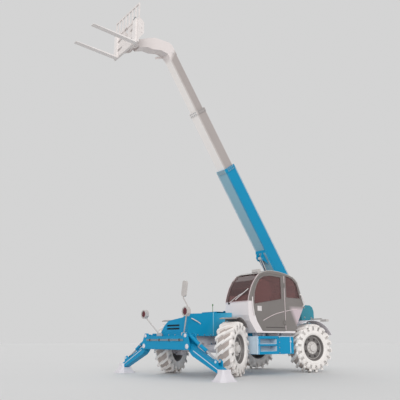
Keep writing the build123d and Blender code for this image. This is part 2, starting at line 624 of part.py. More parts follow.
with BuildPart() as bay:
    with BuildSketch(level(BAY_Z0)):
        with Locations(((BAY_X0 + BAY_X1) / 2, (BAY_Y0 + BAY_Y1) / 2)):
            Rectangle(BAY_X1 - BAY_X0, BAY_Y1 - BAY_Y0)
    extrude(amount=BAY_Z1 - BAY_Z0)
    with BuildSketch(level(BAY_Z0 + BAY_T)):
        with Locations(((BAY_X0 + BAY_X1) / 2, (BAY_Y0 + BAY_Y1) / 2)):
            Rectangle(BAY_X1 - BAY_X0 - 2 * BAY_T, BAY_Y1 - BAY_Y0 - 2 * BAY_T)
    extrude(amount=BAY_Z1, mode=Mode.SUBTRACT)
    # the frame's outriggers pass in through the inner wall
    with BuildSketch(side(BAY_Y1 + 50)):
        for x in OUTRIGGERS:
            with Locations((x, FRAME_TOP - OUTRIGGER_H / 2)):
                Rectangle(OUTRIGGER_W, OUTRIGGER_H)
    extrude(amount=OUTRIGGER_END + BAY_Y1, mode=Mode.SUBTRACT)
    # the inner wall stands up to the hood's hinges, which have their pins here
    with BuildSketch(front(BAY_X0)):
        with Locations((BAY_Y1 - BAY_T / 2, (BAY_Z1 + HOOD_TOP - 30) / 2)):
            Rectangle(BAY_T, HOOD_TOP - 30 - BAY_Z1)
    extrude(amount=BAY_X1 - BAY_X0)
    for x in HOOD_HINGES:
        with BuildSketch(front(x - 30)):
            with Locations((BAY_Y1 - 7, HOOD_TOP - 10)):
                Rectangle(BAY_T, 42)
        extrude(amount=60)
        with BuildSketch(front(x - 85)):
            with Locations(HOOD_AXIS):
                Circle(8)
        extrude(amount=170)
    # grille slots in the outer wall
    with BuildSketch(side(BAY_Y0)):
        with Locations((LOUVRE_X, 860)):
            with GridLocations(0, 46, 1, 6):
                Rectangle(LOUVRE_L, LOUVRE_H)
    extrude(amount=40, both=True, mode=Mode.SUBTRACT)
save(bay, "engine_bay")

with BuildPart() as hood:
    with BuildSketch(front(BAY_X0)):
        Polygon((HOOD_Y, BAY_Z1 + GAP), (HOOD_Y, HOOD_TOP), (BAY_Y0 + 220, HOOD_TOP), (BAY_Y0 + 40, HOOD_TOP - 110),
                (BAY_Y0, HOOD_TOP - 240), (BAY_Y0, BAY_Z1 + GAP), align=None)
    extrude(amount=BAY_X1 - BAY_X0)
    with BuildSketch(front(BAY_X0 + BAY_T)):
        Polygon((BAY_Y1, BAY_Z1), (BAY_Y1, HOOD_TOP - BAY_T), (BAY_Y0 + 225, HOOD_TOP - BAY_T),
                (BAY_Y0 + 50, HOOD_TOP - 120), (BAY_Y0 + BAY_T, HOOD_TOP - 242), (BAY_Y0 + BAY_T, BAY_Z1), align=None)
    extrude(amount=BAY_X1 - BAY_X0 - 2 * BAY_T, mode=Mode.SUBTRACT)
    with BuildSketch(side(BAY_Y0)):
        with Locations((LOUVRE_X, 1160)):
            with GridLocations(0, 46, 1, 3):
                Rectangle(LOUVRE_L, LOUVRE_H)
    extrude(amount=40, both=True, mode=Mode.SUBTRACT)
    # its halves of the two hinges
    for x in HOOD_HINGES:
        for step in (-60, 60):
            with BuildSketch(front(x + step - 25)):
                with Locations((HOOD_AXIS[0], HOOD_AXIS[1])):
                    Circle(15)
                with Locations((HOOD_AXIS[0] - 20, HOOD_AXIS[1] - 8)):
                    Rectangle(40, 12)
                with Locations((HOOD_AXIS[0], HOOD_AXIS[1])):
                    Circle(8 + PIN_GAP, mode=Mode.SUBTRACT)
            extrude(amount=50)
save(hood, "engine_hood")

with BuildPart() as engine:
    with BuildSketch(level(BAY_Z0 + BAY_T)):
        with Locations((LOUVRE_X, (BAY_Y0 + BAY_Y1) / 2)):
            Rectangle(BAY_X1 - BAY_X0 - 560, 460)
    extrude(amount=560)
save(engine, "engine_block")

# ---------------------------------------------------------------- tank and steps on the left
TANK_X0, TANK_X1 = REAR_AXLE_X + REAR_WHEEL_ROOM, -1480.0
STEP_X1 = -780.0
TREAD_END = 70.0       # the step recesses stop this far from the box's ends
TREADS = (580.0, 740.0)
TANK_Y0, TANK_Y1 = 300.0, 1120.0
TANK_Z0, TANK_Z1 = 455.0, 860.0

with BuildPart() as tank:
    with BuildSketch(level(TANK_Z0)):
        with Locations(((TANK_X0 + TANK_X1) / 2, (TANK_Y0 + TANK_Y1) / 2)):
            Rectangle(TANK_X1 - TANK_X0 - 4, TANK_Y1 - TANK_Y0)
    extrude(amount=TANK_Z1 - TANK_Z0)
    chamfer(tank.edges().filter_by(Axis.Z), 30)
    with BuildSketch(side(TANK_Y0 - 10)):
        with Locations((OUTRIGGERS[1], FRAME_TOP - OUTRIGGER_H / 2)):
            Rectangle(OUTRIGGER_W, OUTRIGGER_H)
    extrude(amount=-(OUTRIGGER_END - TANK_Y0 + 10), mode=Mode.SUBTRACT)
save(tank, "fuel_tank")

with BuildPart() as steps:
    with BuildSketch(side(TANK_Y1)):
        with BuildLine():
            Polyline((STEP_X1, TANK_Z0), (STEP_X1, TANK_Z1), (TANK_X1 + 2, TANK_Z1), (TANK_X1 + 2, TANK_Z0), close=True)
        make_face()
    extrude(amount=TANK_Y1 - TANK_Y0)
    # two treads are left between the recesses
    with BuildSketch(side(TANK_Y1 + 1)):
        for z in TREADS:
            with Locations(((STEP_X1 + TANK_X1) / 2, z)):
                Rectangle(STEP_X1 - TANK_X1 - 2 * TREAD_END, 120)
    extrude(amount=220, mode=Mode.SUBTRACT)
    with BuildSketch(side(TANK_Y0 - 10)):
        with Locations((OUTRIGGERS[0], FRAME_TOP - OUTRIGGER_H / 2)):
            Rectangle(OUTRIGGER_W, OUTRIGGER_H)
    extrude(amount=-(OUTRIGGER_END - TANK_Y0 + 10), mode=Mode.SUBTRACT)
save(steps, "step_box")

# ---------------------------------------------------------------- cab
ROOF_RISE = 85 / 190               # the slope of the roof's front part
CAB_REAR = REAR_AXLE_X + 245      # the furthest back that the cab reaches
# the cab's side outline: x from the front axle, height
CAB_OUTLINE = (
    (-800, CAB_FLOOR), (-700, 1060), (-590, 1200), (-548, 1330), (-548, 1600), (-590, 1800), (-665, 1985),
    (-780, 2160), (-930, 2300), (-1120, 2385), (-1400, 2415), (-1750, 2395), (CAB_REAR + 390, 2320),
    (CAB_REAR + 210, 2190), (CAB_REAR + 115, 1930), (CAB_REAR + 70, 1790), (CAB_REAR, 1610),
    (CAB_REAR + 300, 1150), (CAB_REAR + 395, CAB_FLOOR),
)
DOOR_OUTLINE = (
    (-1000, 975), (-830, 1190), (-722, 1430), (-668, 1640), (-690, 1840), (-775, 2050), (-890, 2205),
    (-1040, 2298), (-1300, 2345), (-1790, 2322), (-1790, 975),
)
SILL = (1590.0, 1745.0)           # the door window's lower edge, at its front and at its back
DOOR_WINDOW = (
    (-752, SILL[0]), (-752, 1690), (-775, 1860), (-850, 2045), (-950, 2175), (-1085, 2250), (-1310, 2285),
    (-1700, 2268), (-1700, SILL[1]),
)
QUARTER_WINDOW = (
    (-1880, 1790), (-1880, 2325), (CAB_REAR + 410, 2262), (CAB_REAR + 262, 2150), (CAB_REAR + 180, 1930),
    (CAB_REAR + 140, 1790),
)
RIGHT_WINDOW = (
    (-650, 1640), (-672, 1790), (-745, 1975), (-855, 2130), (-985, 2240), (-1150, 2310), (-1400, 2335),
    (-1800, 2312), (CAB_REAR + 410, 2262), (CAB_REAR + 262, 2150), (CAB_REAR + 180, 1930), (CAB_REAR + 140, 1790),
    (-1880, 1640),
)
SCREEN_Z = (1645.0, 2330.0)       # the windscreen's lower and upper edges
REAR_PANE_Z = (1800.0, 2130.0)
DOOR_GAP = 6.0
DOOR_AXIS = (-1795.0, CAB_Y1 + 14)
DOOR_HINGES = (1180.0, 2080.0)


with BuildPart() as cab:
    with BuildSketch(side(CAB_Y1)):
        Polygon(*CAB_OUTLINE, align=None)
    extrude(amount=CAB_Y1 - CAB_Y0)
    with BuildSketch(side(CAB_Y1 - CAB_WALL)):
        Polygon(*CAB_OUTLINE, align=None)
        offset(amount=-CAB_WALL, kind=Kind.INTERSECTION, mode=Mode.REPLACE)
    extrude(amount=CAB_Y1 - CAB_Y0 - 2 * CAB_WALL, mode=Mode.SUBTRACT)
    # the doorway
    with BuildSketch(side(CAB_Y1 + 1)):
        Polygon(*DOOR_OUTLINE, align=None)
    extrude(amount=CAB_WALL + 2, mode=Mode.SUBTRACT)
    # left rear quarter window, and the right wall's long window
    with BuildSketch(side(CAB_Y1 + 1)):
        Polygon(*QUARTER_WINDOW, align=None)
    extrude(amount=CAB_WALL + 2, mode=Mode.SUBTRACT)
    with BuildSketch(side(CAB_Y0 + CAB_WALL + 1)):
        Polygon(*RIGHT_WINDOW, align=None)
    extrude(amount=CAB_WALL + 2, mode=Mode.SUBTRACT)
    # windscreen and rear window
    for x, (low, high), depth in ((-1100, SCREEN_Z, 700), (CAB_REAR - 50, REAR_PANE_Z, 350)):
        with BuildSketch(front(x)):
            with Locations(((CAB_Y0 + CAB_Y1) / 2, (low + high) / 2)):
                Rectangle(CAB_Y1 - CAB_Y0 - 2 * CAB_WALL, high - low)
        extrude(amount=depth, mode=Mode.SUBTRACT)
    # hinge pins for the door, each between two lugs
    for z in DOOR_HINGES:
        with BuildSketch(level(z - 55)):
            with Locations(DOOR_AXIS):
                Circle(8)
        extrude(amount=110)
        for step in (-55, 40):
            with BuildSketch(level(z + step)):
                with Locations((DOOR_AXIS[0] - 10, (CAB_Y1 + DOOR_AXIS[1] + 8) / 2)):
                    Rectangle(36, DOOR_AXIS[1] + 8 - CAB_Y1)
            extrude(amount=15)
save(cab, "cab_shell")

with BuildPart() as door:
    with BuildSketch(side(CAB_Y1)):
        Polygon(*DOOR_OUTLINE, align=None)
        offset(amount=-DOOR_GAP, kind=Kind.INTERSECTION, mode=Mode.REPLACE)
    extrude(amount=CAB_WALL)
    with BuildSketch(side(CAB_Y1 + 1)):
        Polygon(*DOOR_WINDOW, align=None)
    extrude(amount=CAB_WALL + 2, mode=Mode.SUBTRACT)
    for z in DOOR_HINGES:
        with BuildSketch(level(z - 39)):
            with Locations(DOOR_AXIS):
                Circle(13)
            with Locations((DOOR_AXIS[0] + 34, CAB_Y1 + 5)):
                Rectangle(68, 10)
            with Locations(DOOR_AXIS):
                Circle(8 + PIN_GAP, mode=Mode.SUBTRACT)
        extrude(amount=78)
save(door, "cab_door")

GLASS_T = 5.0
GLASS_IN = 18.0        # how deep a pane's outer face sits in the wall
with BuildPart() as glass:
    # left rear quarter pane, right pane
    with BuildSketch(side(CAB_Y1 - GLASS_IN)):
        Polygon(*QUARTER_WINDOW, align=None)
    extrude(amount=GLASS_T)
    with BuildSketch(side(CAB_Y0 + GLASS_IN + GLASS_T)):
        Polygon(*RIGHT_WINDOW, align=None)
    extrude(amount=GLASS_T)
    # the windscreen and the rear pane follow the cab's outline
    for x, (low, high) in ((-740, SCREEN_Z), (CAB_REAR + 100, REAR_PANE_Z)):
        with BuildSketch(side(CAB_Y1 - CAB_WALL)):
            Polygon(*CAB_OUTLINE, align=None)
            offset(amount=-GLASS_IN, kind=Kind.INTERSECTION, mode=Mode.REPLACE)
            with BuildSketch(mode=Mode.SUBTRACT):
                Polygon(*CAB_OUTLINE, align=None)
                offset(amount=-GLASS_IN - GLASS_T, kind=Kind.INTERSECTION, mode=Mode.REPLACE)
            with Locations((x, (low + high) / 2)):
                Rectangle(500, high - low, mode=Mode.INTERSECT)
        extrude(amount=CAB_Y1 - CAB_Y0 - 2 * CAB_WALL)
save(glass, "cab_glass")

with BuildPart() as door_glass:
    with BuildSketch(side(CAB_Y1 - GLASS_IN)):
        Polygon(*DOOR_WINDOW, align=None)
    extrude(amount=GLASS_T)
save(door_glass, "door_glass")

CAB_MID = (CAB_Y0 + CAB_Y1) / 2
SEAT_X = -1700.0
with BuildPart() as seat:
    with BuildSketch(level(CAB_FLOOR + CAB_WALL)):
        with Locations((SEAT_X, CAB_MID)):
            Rectangle(360, 360)
    extrude(amount=300)
    with BuildSketch(level(CAB_FLOOR + CAB_WALL + 300)):
        with Locations((SEAT_X + 20, CAB_MID)):
            RectangleRounded(480, 480, 60)
    extrude(amount=110)
    with BuildSketch(side(CAB_MID)):
        Polygon((SEAT_X - 110, 1360), (SEAT_X - 220, 1360), (SEAT_X - 320, 1960), (SEAT_X - 230, 1980), align=None)
    extrude(amount=215, both=True)
save(seat, "seat")

with BuildPart() as column:
    with BuildSketch(side(CAB_MID)):
        Polygon((-820, 1200), (-1000, CAB_FLOOR + CAB_WALL), (-1120, CAB_FLOOR + CAB_WALL), (-1010, 1530), (-930, 1560), align=None)
    extrude(amount=60, both=True)
    wheel_seat = Plane(origin=(FRONT_AXLE_X - 970, CAB_MID, 1545), x_dir=(0, 1, 0), z_dir=(-0.45, 0, 0.89))
    with BuildSketch(wheel_seat):
        Circle(20)
    extrude(amount=90)
    with BuildSketch(wheel_seat.offset(80)):
        RegularPolygon(195, 24)
        RegularPolygon(167, 24, mode=Mode.SUBTRACT)
        Rectangle(340, 40)
        RegularPolygon(45, 12)
    extrude(amount=28)
save(column, "steering_column")

# ---------------------------------------------------------------- lamps, mirror, rear
LAMP_FOOT = (860.0, 470.0, COVER_LOW + 45)
LAMP_AT = (1045.0, 800.0, 1300.0)      # the top of its stalk
LAMP_BACK, LAMP_FRONT = 1010.0, 1100.0
LAMP_R = 108.0
LAMP_Z = LAMP_AT[2] + 60
LAMP_TOP = LAMP_Z + LAMP_R * cos(radians(22.5))
with BuildPart() as lamps:
    for hand in (LEFT, RIGHT):
        rise = Vector(LAMP_AT[0] - LAMP_FOOT[0], hand * (LAMP_AT[1] - LAMP_FOOT[1]), LAMP_AT[2] - LAMP_FOOT[2])
        stalk = Plane(origin=(FRONT_AXLE_X + LAMP_FOOT[0], hand * LAMP_FOOT[1], LAMP_FOOT[2]), x_dir=(0, 1, 0), z_dir=rise)
        with BuildSketch(stalk):
            RegularPolygon(15, 12)
        extrude(amount=rise.length)
        with BuildSketch(level(COVER_LOW)):
            with Locations((LAMP_FOOT[0] - 5, hand * LAMP_FOOT[1])):
                Rectangle(90, 90)
        extrude(amount=70)
        # an eight-sided bezel round a lens that is set back
        with BuildSketch(front(LAMP_BACK)):
            with Locations((hand * LAMP_AT[1], LAMP_Z)):
                RegularPolygon(LAMP_R, 8, rotation=22.5)
        extrude(amount=LAMP_FRONT - LAMP_BACK)
        with BuildSketch(front(LAMP_FRONT - 25)):
            with Locations((hand * LAMP_AT[1], LAMP_Z)):
                RegularPolygon(LAMP_R - 26, 8, rotation=22.5)
        extrude(amount=30, mode=Mode.SUBTRACT)
    # a work lamp on the front of the cab's roof
    with BuildSketch(side(CAB_Y1 - 50)):
        Polygon((-960, 2300 + 30 * ROOF_RISE), (-1060, 2300 + 130 * ROOF_RISE), (-1040, 2435), (-940, 2420), (-930, 2360), align=None)
    extrude(amount=190)
save(lamps, "front_lamps")

# the left mirror stands on the left lamp: its rod goes up and in, to the foot of a leaning glass
MIRROR_ROD_R = 10.0
MIRROR_W, MIRROR_H, MIRROR_T, MIRROR_LEAN = 150.0, 340.0, 40.0, 10.0
MIRROR_ROD = ((810.0, LAMP_TOP + SEAT), (810.0, LAMP_TOP + 25), (670.0, LAMP_TOP + 190), (690.0, LAMP_TOP + 260))
MIRROR_MID = (722.0, LAMP_TOP + 390)
with BuildPart() as mirror:
    with BuildSketch(front(LAMP_AT[0] - MIRROR_ROD_R)):
        Polygon(*band(MIRROR_ROD, 2 * MIRROR_ROD_R), align=None)
    extrude(amount=2 * MIRROR_ROD_R)
    with BuildSketch(front(LAMP_AT[0] - MIRROR_T / 2)):
        with Locations(MIRROR_MID):
            RectangleRounded(MIRROR_W, MIRROR_H, 50, rotation=-MIRROR_LEAN)
    extrude(amount=MIRROR_T)
save(mirror, "mirror")

TOW_Z = 840.0
TOW_Y, TOW_H, TOW_R = 160.0, 100.0, 11.0
FLANK_X = -3060.0      # the weights beside the tower start here
FLANK_Y = 550.0
FLANK_Z0, FLANK_Z1 = 1290.0, 1690.0
with BuildPart() as weight:
    with BuildSketch(front(REAR_END)):
        with BuildLine():
            Polyline((-560, 760), (-560, 1120), (-480, 1220), (480, 1220), (560, 1120), (560, 760), (480, 690), (-480, 690), close=True)
        make_face()
    extrude(amount=COUNTERWEIGHT_T)
    with BuildSketch(front(REAR_END)):
        with Locations((0, TOW_Z)):
            with GridLocations(TOW_Y, TOW_H, 2, 2):
                Circle(TOW_R)
    extrude(amount=60, mode=Mode.SUBTRACT)
    # a weight on each side of the tower, with its top corners sloped
    for hand in (LEFT, RIGHT):
        with BuildSketch(side(hand * FLANK_Y)):
            Polygon(
                (FLANK_X, FLANK_Z0), (FLANK_X, FLANK_Z1), (REAR_END + 150, FLANK_Z1), (REAR_END + 50, FLANK_Z1 - 50),
                (REAR_END, FLANK_Z1 - 160), (REAR_END, FLANK_Z0), align=None,
            )
        extrude(amount=hand * (FLANK_Y - FRAME_Y))
save(weight, "counterweight")

REAR_LAMP_X = REAR_END + 130
with BuildPart() as rear_lamps:
    # each on a bar out from the weight
    for hand in (LEFT, RIGHT):
        with BuildSketch(side(hand * FLANK_Y)):
            with Locations((REAR_LAMP_X, FLANK_Z0 + 30)):
                Rectangle(36, 36)
        extrude(amount=-hand * 360)
        with BuildSketch(side(hand * (FLANK_Y + 350))):
            with Locations((REAR_LAMP_X, FLANK_Z0 - 15)):
                Rectangle(110, 60)
        extrude(amount=-hand * 190)
save(rear_lamps, "rear_lamps")

# ---------------------------------------------------------------- boom
# section: half width, half depth, wall, from and to along the boom, and how far the head end stands proud
BASE = (180.0, 200.0, 10.0, -320.0, 4080.0)
MID = (155.0, 172.0, 9.0, 1600.0, 5800.0)
FLY = (131.0, 145.0, 8.0, 3350.0, 7340.0)
COLLAR_L = 110.0
COLLAR_T = 12.0
PAD_L = 90.0

CORNER = 24.0          # the boxes' corners are sloped by this
SOLE_T = 45.0          # the base's underside is doubled as far as SOLE_END
SOLE_END = 1620.0
EAR_R = 78.0

for (half_w, half_d, wall, s0, s1), inner_tube, label in ((BASE, MID, "boom_base"), (MID, FLY, "boom_mid")):
    with BuildPart() as tube:
        with BuildSketch(boom_section(s0)):
            with Locations((0, BOOM_UP)):
                Polygon(*chamfered(2 * half_w, 2 * half_d, CORNER), align=None)
                Polygon(*chamfered(2 * (half_w - wall), 2 * (half_d - wall), CORNER - wall / 2), align=None, mode=Mode.SUBTRACT)
        extrude(amount=s1 - s0)
        with BuildSketch(boom_section(s1 - COLLAR_L)):
            with Locations((0, BOOM_UP)):
                Polygon(*chamfered(2 * (half_w + COLLAR_T), 2 * (half_d + COLLAR_T), CORNER + 4), align=None)
                Polygon(*chamfered(2 * (half_w - wall), 2 * (half_d - wall), CORNER - wall / 2), align=None, mode=Mode.SUBTRACT)
        extrude(amount=COLLAR_L)
        # wear pads on the four inner walls, at the mouth
        side_t = half_w - wall - inner_tube[0] - SEAT
        flat_t = half_d - wall - inner_tube[1] - SEAT
        with BuildSketch(boom_section(s1 - PAD_L)):
            with Locations((half_w - wall - side_t / 2, BOOM_UP), (-half_w + wall + side_t / 2, BOOM_UP)):
                Rectangle(side_t, half_d)
            with Locations((0, BOOM_UP + half_d - wall - flat_t / 2), (0, BOOM_UP - half_d + wall + flat_t / 2)):
                Rectangle(half_w, flat_t)
        extrude(amount=PAD_L)
        if label == "boom_base":
            # the doubled underside
            under = BOOM_UP - half_d
            with BuildSketch(boom_side(0)):
                Polygon((250, under), (SOLE_END, under), (SOLE_END - 60, under - SOLE_T), (300, under - SOLE_T), align=None)
            extrude(amount=half_w, both=True)
            # the pivot's tube
            with BuildSketch(boom_side(0)):
                Circle(BOSS_R - 20)
                Circle(PIVOT_R + PIN_GAP, mode=Mode.SUBTRACT)
            extrude(amount=FRAME_Y - FRAME_T - GAP, both=True)
            with BuildSketch(boom_side(0)):
                Circle(PIVOT_R + PIN_GAP)
            extrude(amount=FRAME_Y, both=True, mode=Mode.SUBTRACT)
            # the lift cylinder's ears, each with a boss round the pin's end
            for hand in (LEFT, RIGHT):
                ear = LIFT_EYE_HALF + GAP
                with BuildSketch(boom_side(hand * ear)):
                    Polygon((LIFT_PIN[0] - 260, under - SOLE_T + 1), (LIFT_PIN[0] + 150, under - SOLE_T + 1), (LIFT_PIN[0] + EAR_R - 8, LIFT_PIN[1] - 30),
                            (LIFT_PIN[0] + 45, LIFT_PIN[1] - EAR_R + 12), (LIFT_PIN[0] - 45, LIFT_PIN[1] - EAR_R + 12),
                            (LIFT_PIN[0] - EAR_R, LIFT_PIN[1] - 20), align=None)
                extrude(amount=-hand * 24)
                with BuildSketch(boom_side(hand * (ear + 24))):
                    with Locations(LIFT_PIN):
                        RegularPolygon(LIFT_PIN_R + 14, 12)
                extrude(amount=-hand * 14)
    save(tube, label)

HEAD_HALF = 125.0
HEAD_T = 20.0
HEAD_S = FLY[4]        # the head starts at the third section's end
TOP_N = BOOM_UP + FLY[1]
LOW_N = BOOM_UP - FLY[1]
# the head's outline along the boom and across it: its upper edge to the pin, and back along its lower edge
HEAD_UPPER = (
    (HEAD_S - 10, TOP_N), (HEAD_S + 260, TOP_N), (HEAD_S + 360, TOP_N - 75), (HEAD_S + 490, TOP_N - 300),
    (HEAD_S + 570, TOP_N - 437), (HEAD_S + 605, TOP_N - 655), (HEAD_S + 635, TOP_N - 925), (HEAD_S + 645, TOP_N - 1175),
)
HEAD_LOWER = (
    (HEAD_S + 450, LOW_N - 785), (HEAD_S + 405, LOW_N - 545), (HEAD_S + 310, LOW_N - 405), (HEAD_S + 230, LOW_N - 165),
    (HEAD_S + 90, LOW_N), (HEAD_S - 10, LOW_N),
)
with BuildPart() as fly:
    half_w, half_d, wall, s0, s1 = FLY
    with BuildSketch(boom_section(s0)):
        with Locations((0, BOOM_UP)):
            Polygon(*chamfered(2 * half_w, 2 * half_d, CORNER), align=None)
            Polygon(*chamfered(2 * (half_w - wall), 2 * (half_d - wall), CORNER - wall / 2), align=None, mode=Mode.SUBTRACT)
    extrude(amount=s1 - s0)
    # the head: two cheek plates down to the carriage's pin, closed on top and below
    for hand in (LEFT, RIGHT):
        with BuildSketch(boom_side(hand * (HEAD_HALF - HEAD_T / 2))):
            Polygon(*HEAD_UPPER, *HEAD_LOWER, align=None)
            with Locations(CARRIAGE_PIN):
                RegularPolygon(CARRIAGE_PIN_R + 42, 16)
                Circle(CARRIAGE_PIN_R + PIN_GAP, mode=Mode.SUBTRACT)
        extrude(amount=HEAD_T / 2, both=True)
    for plate in (band(HEAD_UPPER[:5], HEAD_T), band(HEAD_LOWER, HEAD_T)):
        with BuildSketch(boom_side(0)):
            Polygon(*plate, align=None)
        extrude(amount=HEAD_HALF - HEAD_T, both=True)
    with BuildSketch(boom_side(0)):
        with Locations(TILT_FOOT):
            Circle(25)
    extrude(amount=HEAD_HALF, both=True)
    # a rest for the hoses, under the head
    with BuildSketch(boom_side(-HEAD_HALF)):
        Polygon((HEAD_S + 60, LOW_N), (HEAD_S + 130, LOW_N - 20), (HEAD_S + 160, LOW_N - 230), (HEAD_S + 110, LOW_N - 250), align=None)
    extrude(amount=-16)
save(fly, "boom_fly")

# ---------------------------------------------------------------- lift and tilt cylinders
# name, foot, eye (x, z), barrel radius, rod radius, half widths of the foot and the eye, pin radii, barrel's share of the reach, where the rod ends in it
EYE_WALL = 18.0
STRUTS = (
    ("lift", LIFT_FOOT, boom_point(*LIFT_PIN), LIFT_BARREL_R, LIFT_ROD_R, 70.0, LIFT_EYE_HALF, LIFT_PIN_R, 0.54, 0.36),
    ("tilt", boom_point(*TILT_FOOT), (PIN_X + TILT_EYE[0], PIN_Z + TILT_EYE[1]), 55.0, 30.0, 60.0, 38.0, 25.0, 0.60, 0.36),
)
for name, foot, eye, barrel_r, rod_r, foot_half, eye_half, pin_r, share, rod_from in STRUTS:
    reach = hypot(eye[0] - foot[0], eye[1] - foot[1])
    flank = strut_side(foot, eye)
    with BuildPart() as barrel:
        with BuildSketch(flank):
            Circle(pin_r + 32)
            Circle(pin_r + PIN_GAP, mode=Mode.SUBTRACT)
        extrude(amount=foot_half, both=True)
        tail = Plane(flank.from_local_coords(Vector(pin_r + 28, 0, 0)), z_dir=flank.x_dir)
        with BuildSketch(tail):
            Circle(barrel_r)
        extrude(amount=reach * share)
        with BuildSketch(tail.offset(30)):
            Circle(rod_r + SEAT)
        extrude(amount=reach, mode=Mode.SUBTRACT)
    save(barrel, f"{name}_cylinder")
    with BuildPart() as rod:
        with BuildSketch(flank):
            with Locations((reach, 0)):
                Circle(pin_r + EYE_WALL)
        extrude(amount=eye_half, both=True)
        inside = reach * rod_from
        with BuildSketch(Plane(flank.from_local_coords(Vector(inside, 0, 0)), z_dir=flank.x_dir)):
            Circle(rod_r)
        extrude(amount=reach - inside - pin_r)
    save(rod, f"{name}_rod")

# ---------------------------------------------------------------- carriage and forks
BACK = PIN_X + PLATE_AHEAD
PLATE_LOW = PIN_Z - PLATE_DROP
PLATE_HIGH = PLATE_LOW + PLATE_H
REST_HIGH = PLATE_HIGH + REST_H
BARS = 8
BAR_W = 30.0
TOP_BAR_H = 60.0
WINDOW_TOP, WINDOW_H = 32.0, 356.0
with BuildPart() as carriage:
    with BuildSketch(front(BACK)):
        with Locations((0, (PLATE_LOW + PLATE_HIGH) / 2)):
            Rectangle(2 * CARRIAGE_Y, PLATE_H)
        # the slots that lighten the plate
        for z in (PLATE_LOW + 200, PLATE_LOW + 440):
            with Locations((-310, z), (310, z)):
                Polygon(*chamfered(260, 70, 20), align=None, mode=Mode.SUBTRACT)
    extrude(amount=PLATE_T)
    # the two bars that the forks hang on
    with BuildSketch(front(BACK)):
        for z, height in ((PLATE_LOW + 40, 80), (PLATE_HIGH - TOP_BAR_H / 2, TOP_BAR_H)):
            with Locations((0, z)):
                Rectangle(2 * CARRIAGE_Y - 2 * FORK_W - 260, height)
    extrude(amount=PLATE_T + 18)
    # the middle window; the tilt rod's eye swings into it as the forks tip back
    with BuildSketch(front(BACK)):
        with Locations((0, PLATE_HIGH - WINDOW_TOP - WINDOW_H / 2)):
            Rectangle(150, WINDOW_H)
    extrude(amount=PLATE_T + 20, mode=Mode.SUBTRACT)
    # backrest: a top rail and upright bars
    with BuildSketch(front(BACK)):
        with Locations((0, REST_HIGH - 20)):
            Rectangle(2 * CARRIAGE_Y, 40)
        with Locations((0, (PLATE_HIGH + REST_HIGH) / 2)):
            with GridLocations((2 * CARRIAGE_Y - BAR_W) / (BARS - 1), 0, BARS, 1):
                Rectangle(BAR_W, REST_HIGH - PLATE_HIGH)
    extrude(amount=30)
    # side plates and the ears on the pin
    for y in (-CARRIAGE_Y + 10, CARRIAGE_Y - 10):
        with BuildSketch(side(y)):
            Polygon((BACK - 130, PIN_Z + 95), (BACK - 130, PIN_Z + 395), (BACK - 40, PLATE_HIGH), (BACK, PLATE_HIGH), (BACK, PIN_Z - 85), align=None)
        extrude(amount=10, both=True)
    for y in (-HEAD_HALF - GAP - 15, HEAD_HALF + GAP + 15):
        with BuildSketch(side(y)):
            Polygon((PIN_X - 75, PIN_Z - 30), (PIN_X - 75, PIN_Z + 40), (PIN_X + 30, PIN_Z + 300), (BACK, PIN_Z + 400), (BACK, PIN_Z - 160),
                    (PIN_X - 30, PIN_Z - 75), align=None)
        extrude(amount=15, both=True)
    with BuildSketch(side(0)):
        with Locations((PIN_X, PIN_Z)):
            Circle(CARRIAGE_PIN_R)
    extrude(amount=HEAD_HALF + GAP + 30, both=True)
    for y in (-85, 85):
        with BuildSketch(side(y)):
            Polygon((PIN_X + 10, PIN_Z + 270), (PIN_X + 10, PIN_Z + 340), (BACK, PIN_Z + 400), (BACK, PIN_Z + 220), align=None)
        extrude(amount=10, both=True)
save(carriage, "carriage")

with BuildPart() as forks:
    for hand in (LEFT, RIGHT):
        with BuildSketch(side(hand * FORK_Y)):
            with BuildLine():
                Polyline(
                    (BACK + PLATE_T, PLATE_HIGH - 20), (FORK_FACE, PLATE_HIGH - 20), (FORK_FACE, PLATE_LOW + 40),
                    (FORK_TIP, PLATE_LOW + 12), (FORK_TIP, PLATE_LOW), (BACK + PLATE_T, PLATE_LOW), close=True,
                )
            make_face()
        extrude(amount=FORK_W / 2, both=True)
save(forks, "forks")
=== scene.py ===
# %% [markdown]
# # A telehandler, dressed for its portrait
#
# The machine comes in as a fixed frame of parts, in metres, with +X forward, +Y to its left and +Z up.
# Those parts keep their place and their shape. What this file adds is what the eye looks for next: the
# finish of each surface, and the small things that are bolted, clipped or welded to the big ones.
# Every new piece rides on one of the frame's bodies, so it moves when the machine moves.

# %% Load the frame
import json
import math

import bmesh
import bpy
from mathutils import Matrix, Vector


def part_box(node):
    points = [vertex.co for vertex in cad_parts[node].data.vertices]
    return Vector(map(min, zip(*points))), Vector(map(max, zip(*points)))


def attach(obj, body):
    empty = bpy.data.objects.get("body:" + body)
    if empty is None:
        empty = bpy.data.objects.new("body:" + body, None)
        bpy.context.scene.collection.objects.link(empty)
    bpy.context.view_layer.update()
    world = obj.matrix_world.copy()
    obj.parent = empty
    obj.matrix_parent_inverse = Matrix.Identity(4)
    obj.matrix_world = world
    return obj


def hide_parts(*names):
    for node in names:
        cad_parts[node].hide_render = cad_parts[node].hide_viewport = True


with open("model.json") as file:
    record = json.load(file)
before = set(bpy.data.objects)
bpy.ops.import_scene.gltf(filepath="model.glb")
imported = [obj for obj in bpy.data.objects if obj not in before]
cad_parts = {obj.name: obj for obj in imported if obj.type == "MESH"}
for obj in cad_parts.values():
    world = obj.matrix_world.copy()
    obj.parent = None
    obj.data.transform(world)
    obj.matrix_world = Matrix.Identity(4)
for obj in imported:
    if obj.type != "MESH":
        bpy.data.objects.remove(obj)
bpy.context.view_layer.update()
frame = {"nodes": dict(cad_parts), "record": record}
NODES = frame["nodes"]
JOINTS = {joint["name"]: joint for joint in frame["record"]["behaviour"]["joints"]}
